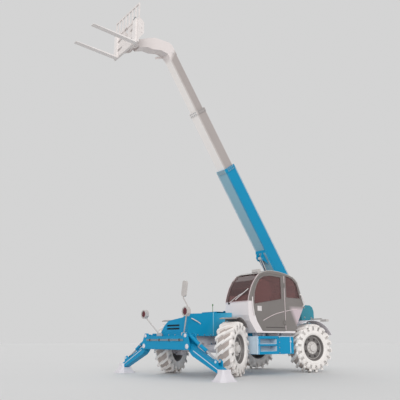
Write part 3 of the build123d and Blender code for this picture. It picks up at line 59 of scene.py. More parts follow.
FRONT_AXLE_X = sum(corner[0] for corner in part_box("front_axle")) / 2


def spot(x, y, z):
    """A place in millimetres, with x from the front axle, as the frame's metres."""
    return Vector((FRONT_AXLE_X + x / 1000, y / 1000, z / 1000))


# %% [markdown]
# ## Colours
#
# A colour listed here is an sRGB value, but the renderer counts light, which is linear. One function
# turns a hex colour into linear light, and every material goes through it, so the whole machine shares
# one set of paints.


# %% One way from a hex colour to linear light
def paint(hex_colour, alpha=1.0):
    channels = [int(hex_colour[i:i + 2], 16) / 255 for i in (1, 3, 5)]
    linear = [c / 12.92 if c <= 0.04045 else ((c + 0.055) / 1.055) ** 2.4 for c in channels]
    return (*linear, alpha)


# %% One way to add a node
def add(tree, kind, links=(), **settings):
    """A node with its settings, and its links as (socket, where the value comes from)."""
    node = tree.nodes.new(kind)
    for name, value in settings.items():
        if name in node.inputs:
            node.inputs[name].default_value = value
        else:
            setattr(node, name, value)
    for socket, source in links:
        tree.links.new(source, node.inputs[socket])
    return node


# %% [markdown]
# ## Finishes
#
# Real paint is never one flat colour. Enamel sprayed on plate is a little uneven, and a rolled plate's
# skin shows as very fine ripples in the gloss. So each finish here is a Principled shader whose colour
# wanders between two shades, with a fine grain in its gloss and in its bump.


# %% A finish with an uneven colour and a fine bump
def finish(
    name, colour, second, blotch_mm, grain_mm, bump_mm, roughness, metallic=0.0, spread=0.06, **extra
):
    """blotch_mm is the size of the colour's patches, grain_mm that of the surface's grain."""
    material = bpy.data.materials.new(name)
    material.use_nodes = True
    tree = material.node_tree
    shader = tree.nodes["Principled BSDF"]
    place = add(tree, "ShaderNodeTexCoord")
    where = place.outputs["Object"]
    blotch = add(tree, "ShaderNodeTexNoise", [("Vector", where)], Scale=1000 / blotch_mm, Detail=4.0)
    grain = add(tree, "ShaderNodeTexNoise", [("Vector", where)], Scale=1000 / grain_mm, Detail=2.0)
    mix = add(tree, "ShaderNodeMix", data_type="RGBA")
    mix.inputs[6].default_value = paint(colour)
    mix.inputs[7].default_value = paint(second)
    tree.links.new(blotch.outputs["Fac"], mix.inputs[0])
    gloss = add(tree, "ShaderNodeMapRange", [("Value", grain.outputs["Fac"])])
    gloss.inputs["To Min"].default_value = roughness - spread
    gloss.inputs["To Max"].default_value = roughness + spread
    height = [("Height", grain.outputs["Fac"])]
    bump = add(tree, "ShaderNodeBump", height, Distance=bump_mm / 1000, Strength=0.5)
    tree.links.new(mix.outputs[2], shader.inputs["Base Color"])
    tree.links.new(gloss.outputs["Result"], shader.inputs["Roughness"])
    tree.links.new(bump.outputs["Normal"], shader.inputs["Normal"])
    shader.inputs["Metallic"].default_value = metallic
    for socket, value in extra.items():
        shader.inputs[socket.replace("_", " ")].default_value = value
    return material


# %% [markdown]
# ## A second colour over part of a surface
#
# Some surfaces carry a second colour. The cab's cowl and sill are paler than its door, in two-tone paint.
# The boom's pale underside and the bonnet's pale left flank are painted light: they are painted paler so
# that they look more brightly lit than their flanks and nose. A mask decides where the second colour lies.
# It comes either from the way that the surface faces, or from where it is, and its edge is soft or sharp as
# its two limits say.


# %% Masks, and a colour laid over by one
def ramp(tree, vector, direction, start, full):
    """0 before start and 1 past full, as the vector is measured along direction."""
    dot = add(tree, "ShaderNodeVectorMath", [(0, vector)], operation="DOT_PRODUCT")
    dot.inputs[1].default_value = direction
    limits = {"From Min": start, "From Max": full}
    return add(tree, "ShaderNodeMapRange", [("Value", dot.outputs["Value"])], **limits)


def facing(tree, direction, start, full):
    """1 where the surface faces along direction, 0 where it doesn't."""
    surface = add(tree, "ShaderNodeNewGeometry")
    return ramp(tree, surface.outputs["Normal"], Vector(direction).normalized(), start, full)


def beyond(tree, direction, start, full):
    """1 where the place, measured along direction, is past full, 0 before start."""
    place = add(tree, "ShaderNodeTexCoord")
    return ramp(tree, place.outputs["Object"], Vector(direction), start, full)


def lay_over(material, colour, *masks):
    """masks are (kind, direction, start, full); the colour lies where all of them say so."""
    tree = material.node_tree
    shader = tree.nodes["Principled BSDF"]
    under = shader.inputs["Base Color"].links[0].from_socket
    amount = None
    for kind, direction, start, full in masks:
        mask = kind(tree, direction, start, full).outputs["Result"]
        if amount:
            mask = add(tree, "ShaderNodeMath", [(0, amount), (1, mask)], operation="MULTIPLY").outputs[0]
        amount = mask
    mix = add(tree, "ShaderNodeMix", data_type="RGBA")
    mix.inputs[7].default_value = paint(colour)
    tree.links.new(amount, mix.inputs[0])
    tree.links.new(under, mix.inputs[6])
    tree.links.new(mix.outputs[2], shader.inputs["Base Color"])


# %% [markdown]
# ## The machine's own finishes
#
# Two enamels carry the machine: a clear blue on the boom's base, the nose and the stabilisers, and a warm
# grey on the sections that slide. The running gear wears a pale primer, the cab a stone colour, and the
# tyres a pale, non-marking rubber. The rest are the bare materials of small things.

# %% Enamels
BOOM_LIFT = JOINTS["boom_mid_extend"]["axis"]
# the way that the boom's underside faces; the painted light on the boom's underside is laid along it
UNDER_BOOM = (BOOM_LIFT[2], 0.0, -BOOM_LIFT[0])
LOW_GLOSS = {"Specular_IOR_Level": 0.22}
blue_enamel = finish("blue enamel on steel plate", "#0A93C0", "#0587B4", 900, 14, 0.3, 0.5, **LOW_GLOSS)
boom_enamel_and_painted_light = finish("blue enamel on the boom", "#0690BC", "#0584AE", 900, 14, 0.3, 0.5, **LOW_GLOSS)
# painted light: the boom's underside is painted a pale blue, so that it looks more brightly lit than its
# flanks
lay_over(boom_enamel_and_painted_light, "#8DB4C4", (facing, UNDER_BOOM, 0.8, 0.95))
hood_enamel_and_painted_light = finish("blue enamel on the bonnet", "#0995C2", "#0689B5", 700, 12, 0.3, 0.48, **LOW_GLOSS)
# painted light: the bonnet's left-facing flank, towards its rear, is painted a paler blue so that it looks
# more brightly lit
lay_over(hood_enamel_and_painted_light, "#57B4D2", (facing, (0, 1, 0.2), 0.7, 0.95), (beyond, (-1, 0, -0.6), -0.9, -0.2))
grey_enamel_and_painted_light = finish("grey enamel on boom plate", "#B0A8A5", "#A49C99", 700, 12, 0.3, 0.5, **LOW_GLOSS)
# painted light: the grey sections' undersides are painted near white, so that they look more brightly lit
# than their flanks
lay_over(grey_enamel_and_painted_light, "#F3EEEB", (facing, UNDER_BOOM, 0.6, 0.95))
lay_over(grey_enamel_and_painted_light, "#DFD7D5", (beyond, (0.58, 0, 0.81), 5.3, 5.5), (beyond, (1, 0, 0.4), 4.2, 4.3))
carriage_enamel = finish("grey enamel on the carriage", "#E9E3E1", "#D6CFCC", 160, 7, 0.2, 0.5)
fork_steel = finish("forged steel of the forks, primed", "#F0EBE9", "#DDD7D5", 120, 6, 0.3, 0.5)
# painted shade: the front arches are painted a mid-grey, darker than the rear arches, to stand for the shade
# along their tops over the tyres
arch_plastic_and_painted_shade = finish("plastic of the front arches, darkened with painted shade", "#8E8785", "#7E7775", 200, 4, 0.2, 0.5)
pale_primer = finish("pale primer on the running gear", "#E0DDE2", "#D2CED3", 300, 9, 0.3, 0.55)
weight_enamel = finish("blue enamel on cast iron", "#1D8FAA", "#3B7F86", 110, 5, 0.8, 0.5)
cab_enamel = finish("stone enamel on the cab", "#827C79", "#756F6C", 500, 8, 0.2, 0.38, Coat_Weight=0.2)
lay_over(cab_enamel, "#E6DFE0", (beyond, (1, 0, 0), -0.98, -0.96), (beyond, (0, 0, -1), -1.66, -1.64))
lay_over(cab_enamel, "#E6DFE0", (beyond, (0, 0, -1), -0.985, -0.98))
lay_over(cab_enamel, "#C9B9BE", (beyond, (-1, 0, 0.55), 2.75, 2.9), (beyond, (0, 0, -1), -1.60, -1.5))
door_enamel = finish("stone enamel on the door", "#7E7976", "#716B68", 500, 8, 0.2, 0.38, Coat_Weight=0.2)
rim_enamel = finish("dark enamel on the rims", "#7D7876", "#5E5A58", 160, 6, 0.3, 0.42)

# %% Bare materials
cowl_plastic = finish("pale moulded plastic", "#E4DEDD", "#D6D0CF", 200, 4, 0.2, 0.5)
hub_enamel = finish("pale enamel on the hubs", "#DAD6D3", "#C6C1BE", 90, 5, 0.2, 0.45)
pale_rubber = finish("pale rubber", "#F0ECE9", "#E2DCD8", 120, 5, 0.5, 0.75)
# painted shade: the tyre's crown between the lugs is painted darker, for the shade in the grooves
groove_painted_shade = finish("pale rubber, with painted shade in the grooves", "#B9AEA9", "#A39892", 90, 5, 0.5, 0.8)
chrome = finish(
    "hard chrome on a piston rod", "#D8D8DA", "#CFCFD2", 60, 2, 0.02, 0.14, metallic=1.0, spread=0.03
)
zinc = finish("zinc-plated steel", "#C9CACB", "#AEB0B2", 20, 2, 0.05, 0.35, metallic=1.0)
cast_iron = finish("cast iron", "#4A4A4C", "#3C3C3E", 60, 3, 0.6, 0.6)
seat_cloth = finish("woven seat cloth", "#C8B8A8", "#B6A595", 40, 3, 0.8, 0.9)
dark_plastic = finish("dark moulded plastic", "#3A3133", "#2E2628", 60, 2, 0.2, 0.5)
lamp_plastic = finish("pale lamp shell", "#C9C4C1", "#B2ADAA", 80, 3, 0.2, 0.4)
vent_dark = finish("dark mesh behind the vents", "#173843", "#102A33", 12, 4, 0.6, 0.7)
amber_lens = finish("moulded lens, wine red", "#6B2B33", "#551F28", 30, 3, 0.3, 0.15)
mirror_silver = finish("silvered glass", "#DADCDC", "#D2D4D4", 200, 50, 0.0, 0.05, metallic=1.0, spread=0.01)

# %% Tinted glass
glass = bpy.data.materials.new("tinted laminated glass")
glass.use_nodes = True
tint = glass.node_tree
tint.nodes.remove(tint.nodes["Principled BSDF"])
gloss_coat = add(tint, "ShaderNodeBsdfGlossy", Color=paint("#FFFFFF"), Roughness=0.04)
through = add(tint, "ShaderNodeBsdfTransparent", Color=paint("#D8BFBD"))
film = add(tint, "ShaderNodeBsdfDiffuse", Color=paint("#8C6A6A"))
dyed = add(tint, "ShaderNodeMixShader", [(1, through.outputs[0]), (2, film.outputs[0])], Fac=0.3)
bend = add(tint, "ShaderNodeFresnel", IOR=1.3)
layers = [(0, bend.outputs[0]), (1, dyed.outputs[0]), (2, gloss_coat.outputs[0])]
sheet = add(tint, "ShaderNodeMixShader", layers)
tint.links.new(sheet.outputs[0], tint.nodes["Material Output"].inputs["Surface"])

# %% Give every carried-over part its finish
WORN_BY = {
    boom_enamel_and_painted_light: ("boom_base",),
    hood_enamel_and_painted_light: ("front_cover",),
    blue_enamel: ("engine_bay", "engine_hood", "fuel_tank", "step_box", "stabiliser_beam", "stabiliser_leg",
                  "leg_cylinder"),
    weight_enamel: ("counterweight",),
    grey_enamel_and_painted_light: ("boom_mid", "boom_fly", "lift_cylinder", "tilt_cylinder"),
    carriage_enamel: ("carriage",),
    fork_steel: ("forks",),
    arch_plastic_and_painted_shade: ("fender_front",),
    pale_primer: ("chassis_frame", "frame_plate", "frame_outriggers", "front_axle", "rear_axle", "knuckle",
                  "fender_rear", "stabiliser_pad"),
    cab_enamel: ("cab_shell",),
    door_enamel: ("cab_door",),
    glass: ("cab_glass", "door_glass"),
    chrome: ("lift_rod", "tilt_rod", "leg_rod"),
    cast_iron: ("engine_block",),
    dark_plastic: ("steering_column",),
    lamp_plastic: ("front_lamps", "mirror", "rear_lamps"),
}
for material, kinds in WORN_BY.items():
    worn = [name for name in NODES if any(name == kind or name.startswith(kind + "_") for kind in kinds)]
    for name in worn:
        NODES[name].data.materials.clear()
        NODES[name].data.materials.append(material)
    print(material.name, "on", ", ".join(worn))

# %% [markdown]
# ## Tools for the small pieces
#
# A bolt, a bracket and a rail are all made the same way: start a bmesh, put simple shapes into it, round
# their edges, and hang the result on a body. These few helpers keep each later cell short. Rounded edges
# matter more than they seem to: light catches them, and a sharp edge always looks like a drawing.


# %% Make a piece from a bmesh
def placed(name, data):
    thing = bpy.data.objects.new(name, data)
    bpy.context.collection.objects.link(thing)
    return thing


def piece(name, mesh, material, body, second=None):
    """The bmesh becomes an object at the origin. Faces with material index 1 wear the second material."""
    bmesh.ops.recalc_face_normals(mesh, faces=mesh.faces)
    for edge in mesh.edges:
        edge.smooth = len(edge.link_faces) == 2 and edge.calc_face_angle() < math.radians(38)
    for face in mesh.faces:
        face.smooth = True
    data = bpy.data.meshes.new(name)
    mesh.to_mesh(data)
    mesh.free()
    data.materials.append(material)
    if second:
        data.materials.append(second)
    thing = placed(name, data)
    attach(thing, body)
    return thing


# %% Round the edges of some vertices' shape
def ease(mesh, verts, width, segments=2):
    edges = {edge for vert in verts for edge in vert.link_edges}
    bmesh.ops.bevel(
        mesh, geom=list(edges), offset=width, segments=segments, profile=0.5, affect="EDGES", material=-1,
        offset_type="OFFSET", clamp_overlap=True,
    )


# %% A block, a bar, a plate and a bolt
def block(mesh, low, high, width=0.004, turn=None):
    """A block between two corners with rounded edges, turned about its middle if turn is given."""
    middle = (low + high) / 2
    size = high - low
    place = Matrix.Translation(middle) @ (turn or Matrix()) @ Matrix.Diagonal((*size, 1))
    ease(mesh, bmesh.ops.create_cube(mesh, size=1.0, matrix=place)["verts"], width)


def bar(mesh, start, end, radius, sides=16):
    """A round bar, or a prism where its sides are few."""
    way = end - start
    place = Matrix.Translation((start + end) / 2) @ way.to_track_quat("Z", "Y").to_matrix().to_4x4()
    made = bmesh.ops.create_cone(
        mesh, cap_ends=True, segments=sides, radius1=radius, radius2=radius, depth=way.length, matrix=place
    )
    return made["verts"]


def plate(mesh, corners, thick, width=0.002):
    """A flat plate from its corners, grown along the vector thick."""
    face = mesh.faces.new([mesh.verts.new(corner) for corner in corners])
    grown = bmesh.ops.extrude_face_region(mesh, geom=[face])["geom"]
    moved = [element for element in grown if isinstance(element, bmesh.types.BMVert)]
    bmesh.ops.translate(mesh, verts=moved, vec=thick)
    ease(mesh, [*face.verts, *moved], width, 1)


def disc(mesh, foot, way, radius, sides, width):
    """A round plate or a pin that stands on foot and reaches along way, with eased edges."""
    ease(mesh, bar(mesh, foot, foot + way, radius, sides), width)


def bolt(mesh, place, out, size):
    """A hexagon head on a washer; size is across its flats."""
    out = Vector(out).normalized()
    bar(mesh, place, place + out * size * 0.16, size * 0.92, 16)
    head = bar(mesh, place + out * size * 0.16, place + out * size * 0.75, size * 0.58, 6)
    ease(mesh, head, size * 0.05, 1)


def ring(mesh, corners, width, thick):
    """A frame inside an outline: its faces are inset by width, and grown along the vector thick."""
    face = mesh.faces.new([mesh.verts.new(corner) for corner in corners])
    rim = bmesh.ops.inset_individual(mesh, faces=[face], thickness=width, use_even_offset=True)["faces"]
    bmesh.ops.delete(mesh, geom=[face], context="FACES_ONLY")
    grown = bmesh.ops.extrude_face_region(mesh, geom=rim)["geom"]
    bmesh.ops.translate(mesh, verts=[e for e in grown if isinstance(e, bmesh.types.BMVert)], vec=thick)


def rail(name, points, radius, material, body, order=3):
    """A bent tube through soft corners, made as a curve and then turned into a mesh."""
    data = bpy.data.curves.new(name, "CURVE")
    data.dimensions = "3D"
    data.bevel_depth = radius
    data.bevel_resolution = 4
    data.use_fill_caps = True
    line = data.splines.new("NURBS")
    line.points.add(len(points) - 1)
    for point, place in zip(line.points, points):
        point.co = (*place, 1.0)
    line.order_u = order
    line.use_endpoint_u = True
    line.resolution_u = 8
    curve = placed(name + "_line", data)
    tube = bpy.data.meshes.new_from_object(curve)
    bpy.data.objects.remove(curve)
    mesh = bmesh.new()
    mesh.from_mesh(tube)
    bpy.data.meshes.remove(tube)
    bmesh.ops.remove_doubles(mesh, verts=mesh.verts, dist=0.0001)
    return piece(name, mesh, material, body)


# %% [markdown]
# ## Tyres
#
# An agricultural lug tyre is a soft round carcass with slanting bars on it. The carcass is one profile
# spun round the axle. A lug is one section pushed along its slant and down over the shoulder, then copied
# round the wheel. The two rows stand half a step apart, so that the tread rolls smoothly.

# %% The tyre's sizes, from the frame
WHEELS = ("front_left", "front_right", "rear_left", "rear_right")
TYRE_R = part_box("tyre_front_left")[1][2] / 2
LUGS = 18
LUG_SLANT = math.tan(math.radians(38))
CROWN = TYRE_R - 0.045
HALF_W = 0.195
# half of the carcass's section: across the wheel from its middle, and from the axle
CARCASS = (
    (0.0, CROWN), (0.08, CROWN - 0.002), (0.13, CROWN - 0.008), (0.165, CROWN - 0.022),
    (0.184, CROWN - 0.05), (0.192, CROWN - 0.09), (HALF_W, CROWN - 0.13), (0.191, CROWN - 0.165),
    (0.194, CROWN - 0.17), (0.192, CROWN - 0.178), (0.186, 0.345), (0.178, 0.325), (0.166, 0.3135),
)


KINGPIN_TO_TYRE = 1.02 - 0.805   # the tyre's middle and the kingpin, both from the machine's middle


def wheel_place(name):
    """The wheel's middle and directions: Z of the local frame is its axle, outwards."""
    out = Vector(JOINTS["spin_" + name]["axis"])
    up = Vector((0, 0, 1))
    turn = Matrix((up.cross(out), up, out)).transposed().to_4x4()
    kingpin = Vector(JOINTS["steer_" + name]["pos_m"])
    return Matrix.Translation(kingpin + out * KINGPIN_TO_TYRE) @ turn


# %% One lug, pushed along its slant and over the shoulder
def lug(mesh, side):
    stations = (
        (-0.022, 0.028, TYRE_R - 0.004), (0.06, 0.030, TYRE_R), (0.15, 0.034, TYRE_R - 0.002),
        (0.186, 0.037, TYRE_R - 0.012), (0.1945, 0.034, CROWN - 0.012), (0.1945, 0.030, CROWN - 0.040),
    )
    first = None
    for across, half, top in stations:
        slant = (across - 0.085) * LUG_SLANT
        corners = [(top - 0.085, -half - 0.006), (top, -half), (top, half), (top - 0.085, half + 0.006)]
        places = []
        for radius, along in corners:
            about = (along - slant) * side / TYRE_R
            places.append(Vector((radius * math.cos(about), radius * math.sin(about), across * side)))
        if first is None:
            face = mesh.faces.new([mesh.verts.new(place) for place in places])
            verts = list(face.verts)
            first = list(verts)
        else:
            grown = bmesh.ops.extrude_face_region(mesh, geom=[face])["geom"]
            face = next(element for element in grown if isinstance(element, bmesh.types.BMFace))
            for vert, place in zip(face.verts, places):
                vert.co = place
            first += list(face.verts)
    return first


# %% The whole tyre
def tyre(name):
    mesh = bmesh.new()
    half = [mesh.verts.new((radius, 0, across)) for across, radius in CARCASS]
    mirrored = [mesh.verts.new((radius, 0, -across)) for across, radius in CARCASS[1:]]
    line = [*reversed(mirrored), *half]
    edges = [mesh.edges.new(pair) for pair in zip(line, line[1:])]
    edges.append(mesh.edges.new((line[-1], line[0])))
    bmesh.ops.spin(
        mesh, geom=[*line, *edges], cent=(0, 0, 0), axis=(0, 0, 1), angle=2 * math.pi, steps=72,
        use_merge=True,
    )
    bmesh.ops.remove_doubles(mesh, verts=mesh.verts, dist=0.0001)
    # the crown's faces between the lugs wear the second material, which is painted shade in the grooves
    for face in mesh.faces:
        middle = face.calc_center_median()
        outermost = Vector((middle.x, middle.y)).length > CROWN - 0.015
        face.material_index = int(outermost and abs(middle.z) < 0.14)
    for side in (1, -1):
        verts = lug(mesh, side)
        turn = Matrix.Rotation(0 if side > 0 else math.pi / LUGS, 3, "Z")
        bmesh.ops.rotate(mesh, verts=verts, cent=(0, 0, 0), matrix=turn)
        faces = list({face for vert in verts for face in vert.link_faces})
        edges = list({edge for vert in verts for edge in vert.link_edges})
        bmesh.ops.spin(
            mesh, geom=[*verts, *edges, *faces], cent=(0, 0, 0), axis=(0, 0, 1),
            angle=2 * math.pi * (LUGS - 1) / LUGS, steps=LUGS - 1, use_duplicate=True,
        )
    bmesh.ops.transform(mesh, matrix=wheel_place(name), verts=mesh.verts)
    tread = piece("tread_" + name, mesh, pale_rubber, "wheel_" + name, groove_painted_shade)
    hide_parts("tyre_" + name)
    print(tread.name, len(tread.data.polygons), "faces")


for name in WHEELS:
    tyre(name)

# %% [markdown]
# ## Rims and hubs
#
# A rim is rolled from plate and welded to a pressed disc, so it too is one profile spun round the axle,
# with dark hand holes laid on the disc. The hub's reduction gear stands out of the middle in its own pale
# casting, held by a ring of nuts on studs.

# %% Sizes of the rim
RIM_R, RIM_HALF, DISC_OUT, DISC_IN = 0.312, 0.165, 0.086, 0.070
NUTS, NUT_CIRCLE = 10, 0.124
HAND_HOLES, HOLE_CIRCLE = 8, 0.212
CAP_BOLTS, CAP_CIRCLE = 6, 0.05
HUB_FLANGE = DISC_OUT + 0.018    # the face that the nuts stand on
# the rim's closed section: across the wheel, and from the axle
RIM_SECTION = (
    (RIM_HALF, RIM_R), (RIM_HALF, 0.296), (0.155, 0.290), (0.128, 0.286), (0.112, 0.276), (0.098, 0.262),
    (DISC_OUT, 0.250), (DISC_OUT, 0.001), (DISC_IN, 0.001), (DISC_IN, 0.262), (0.03, 0.280), (-0.12, 0.284),
    (-0.155, 0.292), (-RIM_HALF, 0.298), (-RIM_HALF, RIM_R),
)
# the hub's closed section, in the same way
HUB_SECTION = (
    (DISC_OUT - 0.004, 0.152), (DISC_OUT + 0.014, 0.152), (HUB_FLANGE, 0.148), (HUB_FLANGE, 0.098),
    (DISC_OUT + 0.024, 0.095), (DISC_OUT + 0.066, 0.090), (DISC_OUT + 0.076, 0.078),
    (DISC_OUT + 0.079, 0.064), (DISC_OUT + 0.079, 0.001), (DISC_OUT - 0.004, 0.001),
)


def round_axle(i, count):
    """The turn to place i of count, round the local axle."""
    return Matrix.Rotation(math.tau * i / count, 4, "Z")


def turned(mesh, section, steps):
    """A closed section spun round the axle."""
    verts = [mesh.verts.new((radius, 0, across)) for across, radius in section]
    edges = [mesh.edges.new(pair) for pair in zip(verts, verts[1:] + verts[:1])]
    bmesh.ops.spin(
        mesh, geom=[*verts, *edges], cent=(0, 0, 0), axis=(0, 0, 1), angle=2 * math.pi, steps=steps,
        use_merge=True,
    )
    bmesh.ops.remove_doubles(mesh, verts=mesh.verts, dist=0.0001)


# %% Rim, hub and nuts of each wheel
for name in WHEELS:
    place = wheel_place(name)
    mesh = bmesh.new()
    turned(mesh, RIM_SECTION, 64)
    for i in range(HAND_HOLES):
        hole = round_axle(i + 0.5, HAND_HOLES) @ Matrix.Translation((HOLE_CIRCLE, 0, DISC_OUT + 0.001))
        dark = bmesh.ops.create_circle(mesh, cap_ends=True, segments=20, radius=0.028, matrix=hole)
        dark["verts"][0].link_faces[0].material_index = 1
    bmesh.ops.transform(mesh, matrix=place, verts=mesh.verts)
    dish = piece("dish_" + name, mesh, rim_enamel, "wheel_" + name, dark_plastic)
    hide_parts("rim_" + name)

    mesh = bmesh.new()
    turned(mesh, HUB_SECTION, 48)
    for i in range(NUTS):
        foot = round_axle(i, NUTS) @ Vector((NUT_CIRCLE, 0, HUB_FLANGE))
        bolt(mesh, foot, (0, 0, 1), 0.027)
        bar(mesh, foot, foot + Vector((0, 0, 0.03)), 0.008, 10)
    for i in range(CAP_BOLTS):
        bolt(mesh, round_axle(i, CAP_BOLTS) @ Vector((CAP_CIRCLE, 0, DISC_OUT + 0.078)), (0, 0, 1), 0.014)
    bmesh.ops.transform(mesh, matrix=place, verts=mesh.verts)
    piece("hub_" + name, mesh, hub_enamel, "wheel_" + name)

    # a pale weld bead and wear ring round the dish
    mesh = bmesh.new()
    turned(mesh, ((0.100, 0.258), (0.106, 0.262), (0.104, 0.270), (0.098, 0.264)), 64)
    bmesh.ops.transform(mesh, matrix=place, verts=mesh.verts)
    piece("dish_ring_" + name, mesh, lamp_plastic, "wheel_" + name)

# %% [markdown]
# ## The cab's glass and its seals
#
# A cab's panes sit in pale rubber seals. A seal is a thin frame that follows the pane's own outline, so
# the outline is read from the pane: the corners of its outer face, in order round its middle. The
# screen's bent edges get a strip of the dark border that is baked into real glass, and a thin bright trim.


# %% A pane's outline
def pane_corners(node, low, high):
    """The corners of a pane's outer face, among the node's points between low and high, in metres."""
    points = [vert.co for vert in NODES[node].data.vertices]
    inside = [co for co in points if all(low[i] <= co[i] <= high[i] for i in range(3))]
    outer = max(co.y for co in inside)
    corners = {(round(co.x, 4), round(co.z, 4)) for co in inside if co.y > outer - 0.001}
    middle_x = sum(x for x, _ in corners) / len(corners)
    middle_z = sum(z for _, z in corners) / len(corners)
    return sorted(corners, key=lambda corner: math.atan2(corner[1] - middle_z, corner[0] - middle_x))


CAB_LOW, CAB_HIGH = (Vector(corner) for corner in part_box("cab_shell"))
CAB_SIDE = spot(0, 1070, 0).y
SEAL_W, SEAL_PROUD = 0.016, 0.004
PANE_Y, QUARTER_X = 1.04, -1.7   # the quarter window lies outside the one and behind the other
seal_rubber = finish("pale window seal", "#E4D5D6", "#D6C6C8", 60, 3, 0.2, 0.6)
screen_border = finish("dark border baked into glass", "#6B5152", "#5E4647", 300, 20, 0.0, 0.15)

# %% Seals of the door's window and the quarter window
for node, low, high, body, name in (
    ("door_glass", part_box("door_glass")[0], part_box("door_glass")[1], "door", "door_window_seal"),
    ("cab_glass", (CAB_LOW.x, PANE_Y, CAB_LOW.z), (QUARTER_X, CAB_HIGH.y, CAB_HIGH.z), "chassis",
     "quarter_window_seal"),
):
    corners = [Vector((x, CAB_SIDE, z)) for x, z in pane_corners(node, low, high)]
    middle = sum(corners, Vector()) / len(corners)
    outline = [corner + (corner - middle).normalized() * SEAL_W for corner in corners]
    mesh = bmesh.new()
    ring(mesh, outline, SEAL_W * 1.3, Vector((0, SEAL_PROUD, 0)))
    piece(name, mesh, seal_rubber, body)
    print(name, "round", len(corners), "corners")

# %% The screen's border and trims, down the front of both pillars
SCREEN_LINE = ((-548, 1640), (-560, 1700), (-590, 1800), (-665, 1985), (-780, 2160), (-930, 2300))
for y0, y1, trim_y, hand in ((1024, 1066, 1066, "left"), (292, 336, 292, "right")):
    mesh = bmesh.new()
    for low, high in zip(SCREEN_LINE, SCREEN_LINE[1:]):
        foot, top = spot(low[0], 0, low[1]), spot(high[0], 0, high[1])
        out = (top - foot).cross(Vector((0, 1, 0))).normalized() * -0.003
        around = ((foot, y0), (top, y0), (top, y1), (foot, y1))
        sides = [Vector((point.x, y / 1000, point.z)) for point, y in around]
        plate(mesh, sides, out if out.x > 0 else -out, 0.001)
    piece("screen_border_" + hand, mesh, screen_border, "chassis")
    points = [spot(x + 3, trim_y, z) for x, z in SCREEN_LINE]
    rail("screen_trim_" + hand, points, 0.007, seal_rubber, "chassis")
points = [spot(-546, y, 1643) for y in (300, 500, 860, 1060)]
rail("screen_foot_trim", points, 0.008, seal_rubber, "chassis")

# %% [markdown]
# ## The door
#
# The door is one pressing with two creases, and a latch plate with a handle. Creases are shallow,
# so here they are thin rounded beads laid on the skin, which catch the light as a crease does.

# %% Creases, seams and the rear panel
SKIN_Y = 1071
for name, line, y, radius, material, body in (
    ("door_crease_upper", ((-1030, 1215), (-1300, 1330), (-1560, 1405), (-1775, 1445)), SKIN_Y, 0.007,
     seal_rubber, "door"),
    ("door_crease_lower", ((-1120, 1062), (-1400, 1062), (-1775, 1062)), SKIN_Y - 0.5, 0.006,
     dark_plastic, "door"),
    ("flank_crease", ((-1830, 1455), (-2050, 1495), (-2260, 1520)), SKIN_Y, 0.007, seal_rubber, "chassis"),
    ("door_seam", ((-1815, 1010), (-1815, 1700), (-1815, 2315)), SKIN_Y, 0.006, seal_rubber, "chassis"),
):
    rail(name, [spot(x, y, z) for x, z in line], radius, material, body)

# %% The latch
mesh = bmesh.new()
block(mesh, spot(-985, 1069, 1430), spot(-845, 1078, 1545), 0.006)
block(mesh, spot(-970, 1078, 1500), spot(-860, 1090, 1530), 0.005)
bar(mesh, spot(-955, 1078, 1460), spot(-955, 1086, 1460), 0.014)
for x in (-978, -852):
    bolt(mesh, spot(x, 1077, 1438), (0, 1, 0), 0.008)
piece("door_latch", mesh, cowl_plastic, "door")

# %% [markdown]
# ## Wiper and grab rails
#
# A wiper is an arm that springs a blade against the glass. It is parked across the screen here. The rails
# are bent tube, which a curve with a round section gives in a few points.

# %% Wiper
for name, points, radius in (
    ("wiper_arm", ((-546, 420, 1625), (-544, 560, 1700), (-560, 760, 1800), (-585, 900, 1850)), 0.008),
    ("wiper_blade", ((-548, 640, 1690), (-560, 800, 1790), (-582, 960, 1880), (-610, 1020, 1935)), 0.010),
):
    rail(name, [spot(*point) for point in points], radius, cowl_plastic, "chassis")
mesh = bmesh.new()
bar(mesh, spot(-552, 420, 1620), spot(-530, 420, 1620), 0.026)
piece("wiper_pivot", mesh, dark_plastic, "chassis")

# %% Grab rails
for name, points in (
    ("grab_rail_rear", ((-2405, 1058, 1900), (-2440, 1100, 1890), (-2530, 1100, 1700), (-2540, 1095, 1610),
                        (-2500, 1058, 1600))),
    ("grab_rail_front", ((-735, 1068, 1320), (-700, 1110, 1350), (-655, 1112, 1520), (-650, 1110, 1700),
                         (-690, 1068, 1740))),
):
    rail(name, [spot(*point) for point in points], 0.013, cowl_plastic, "chassis")

# %% Roof gutters
ROOF_LINE = (
    (-930, 2302), (-1120, 2387), (-1400, 2417), (-1750, 2397), (-2155, 2322), (-2335, 2192), (-2430, 1930),
)
for y, hand in ((1069, "left"), (291, "right")):
    points = [spot(x, y, z) for x, z in ROOF_LINE]
    rail("roof_gutter_" + hand, points, 0.007, lamp_plastic, "chassis")

# %% [markdown]
# ## Inside the cab
#
# The seat is the one soft thing on the machine: a cushion and a back, stuffed and covered in cloth. A
# short cloth simulation with pressure inside swells a plain rounded block into a cushion, and how far a
# point may move is capped, so that it stays in its place.

# %% Cushions by simulation
PRESSURE, CAP, VOXEL, FRAMES = 4.0, 0.014, 0.012, 20


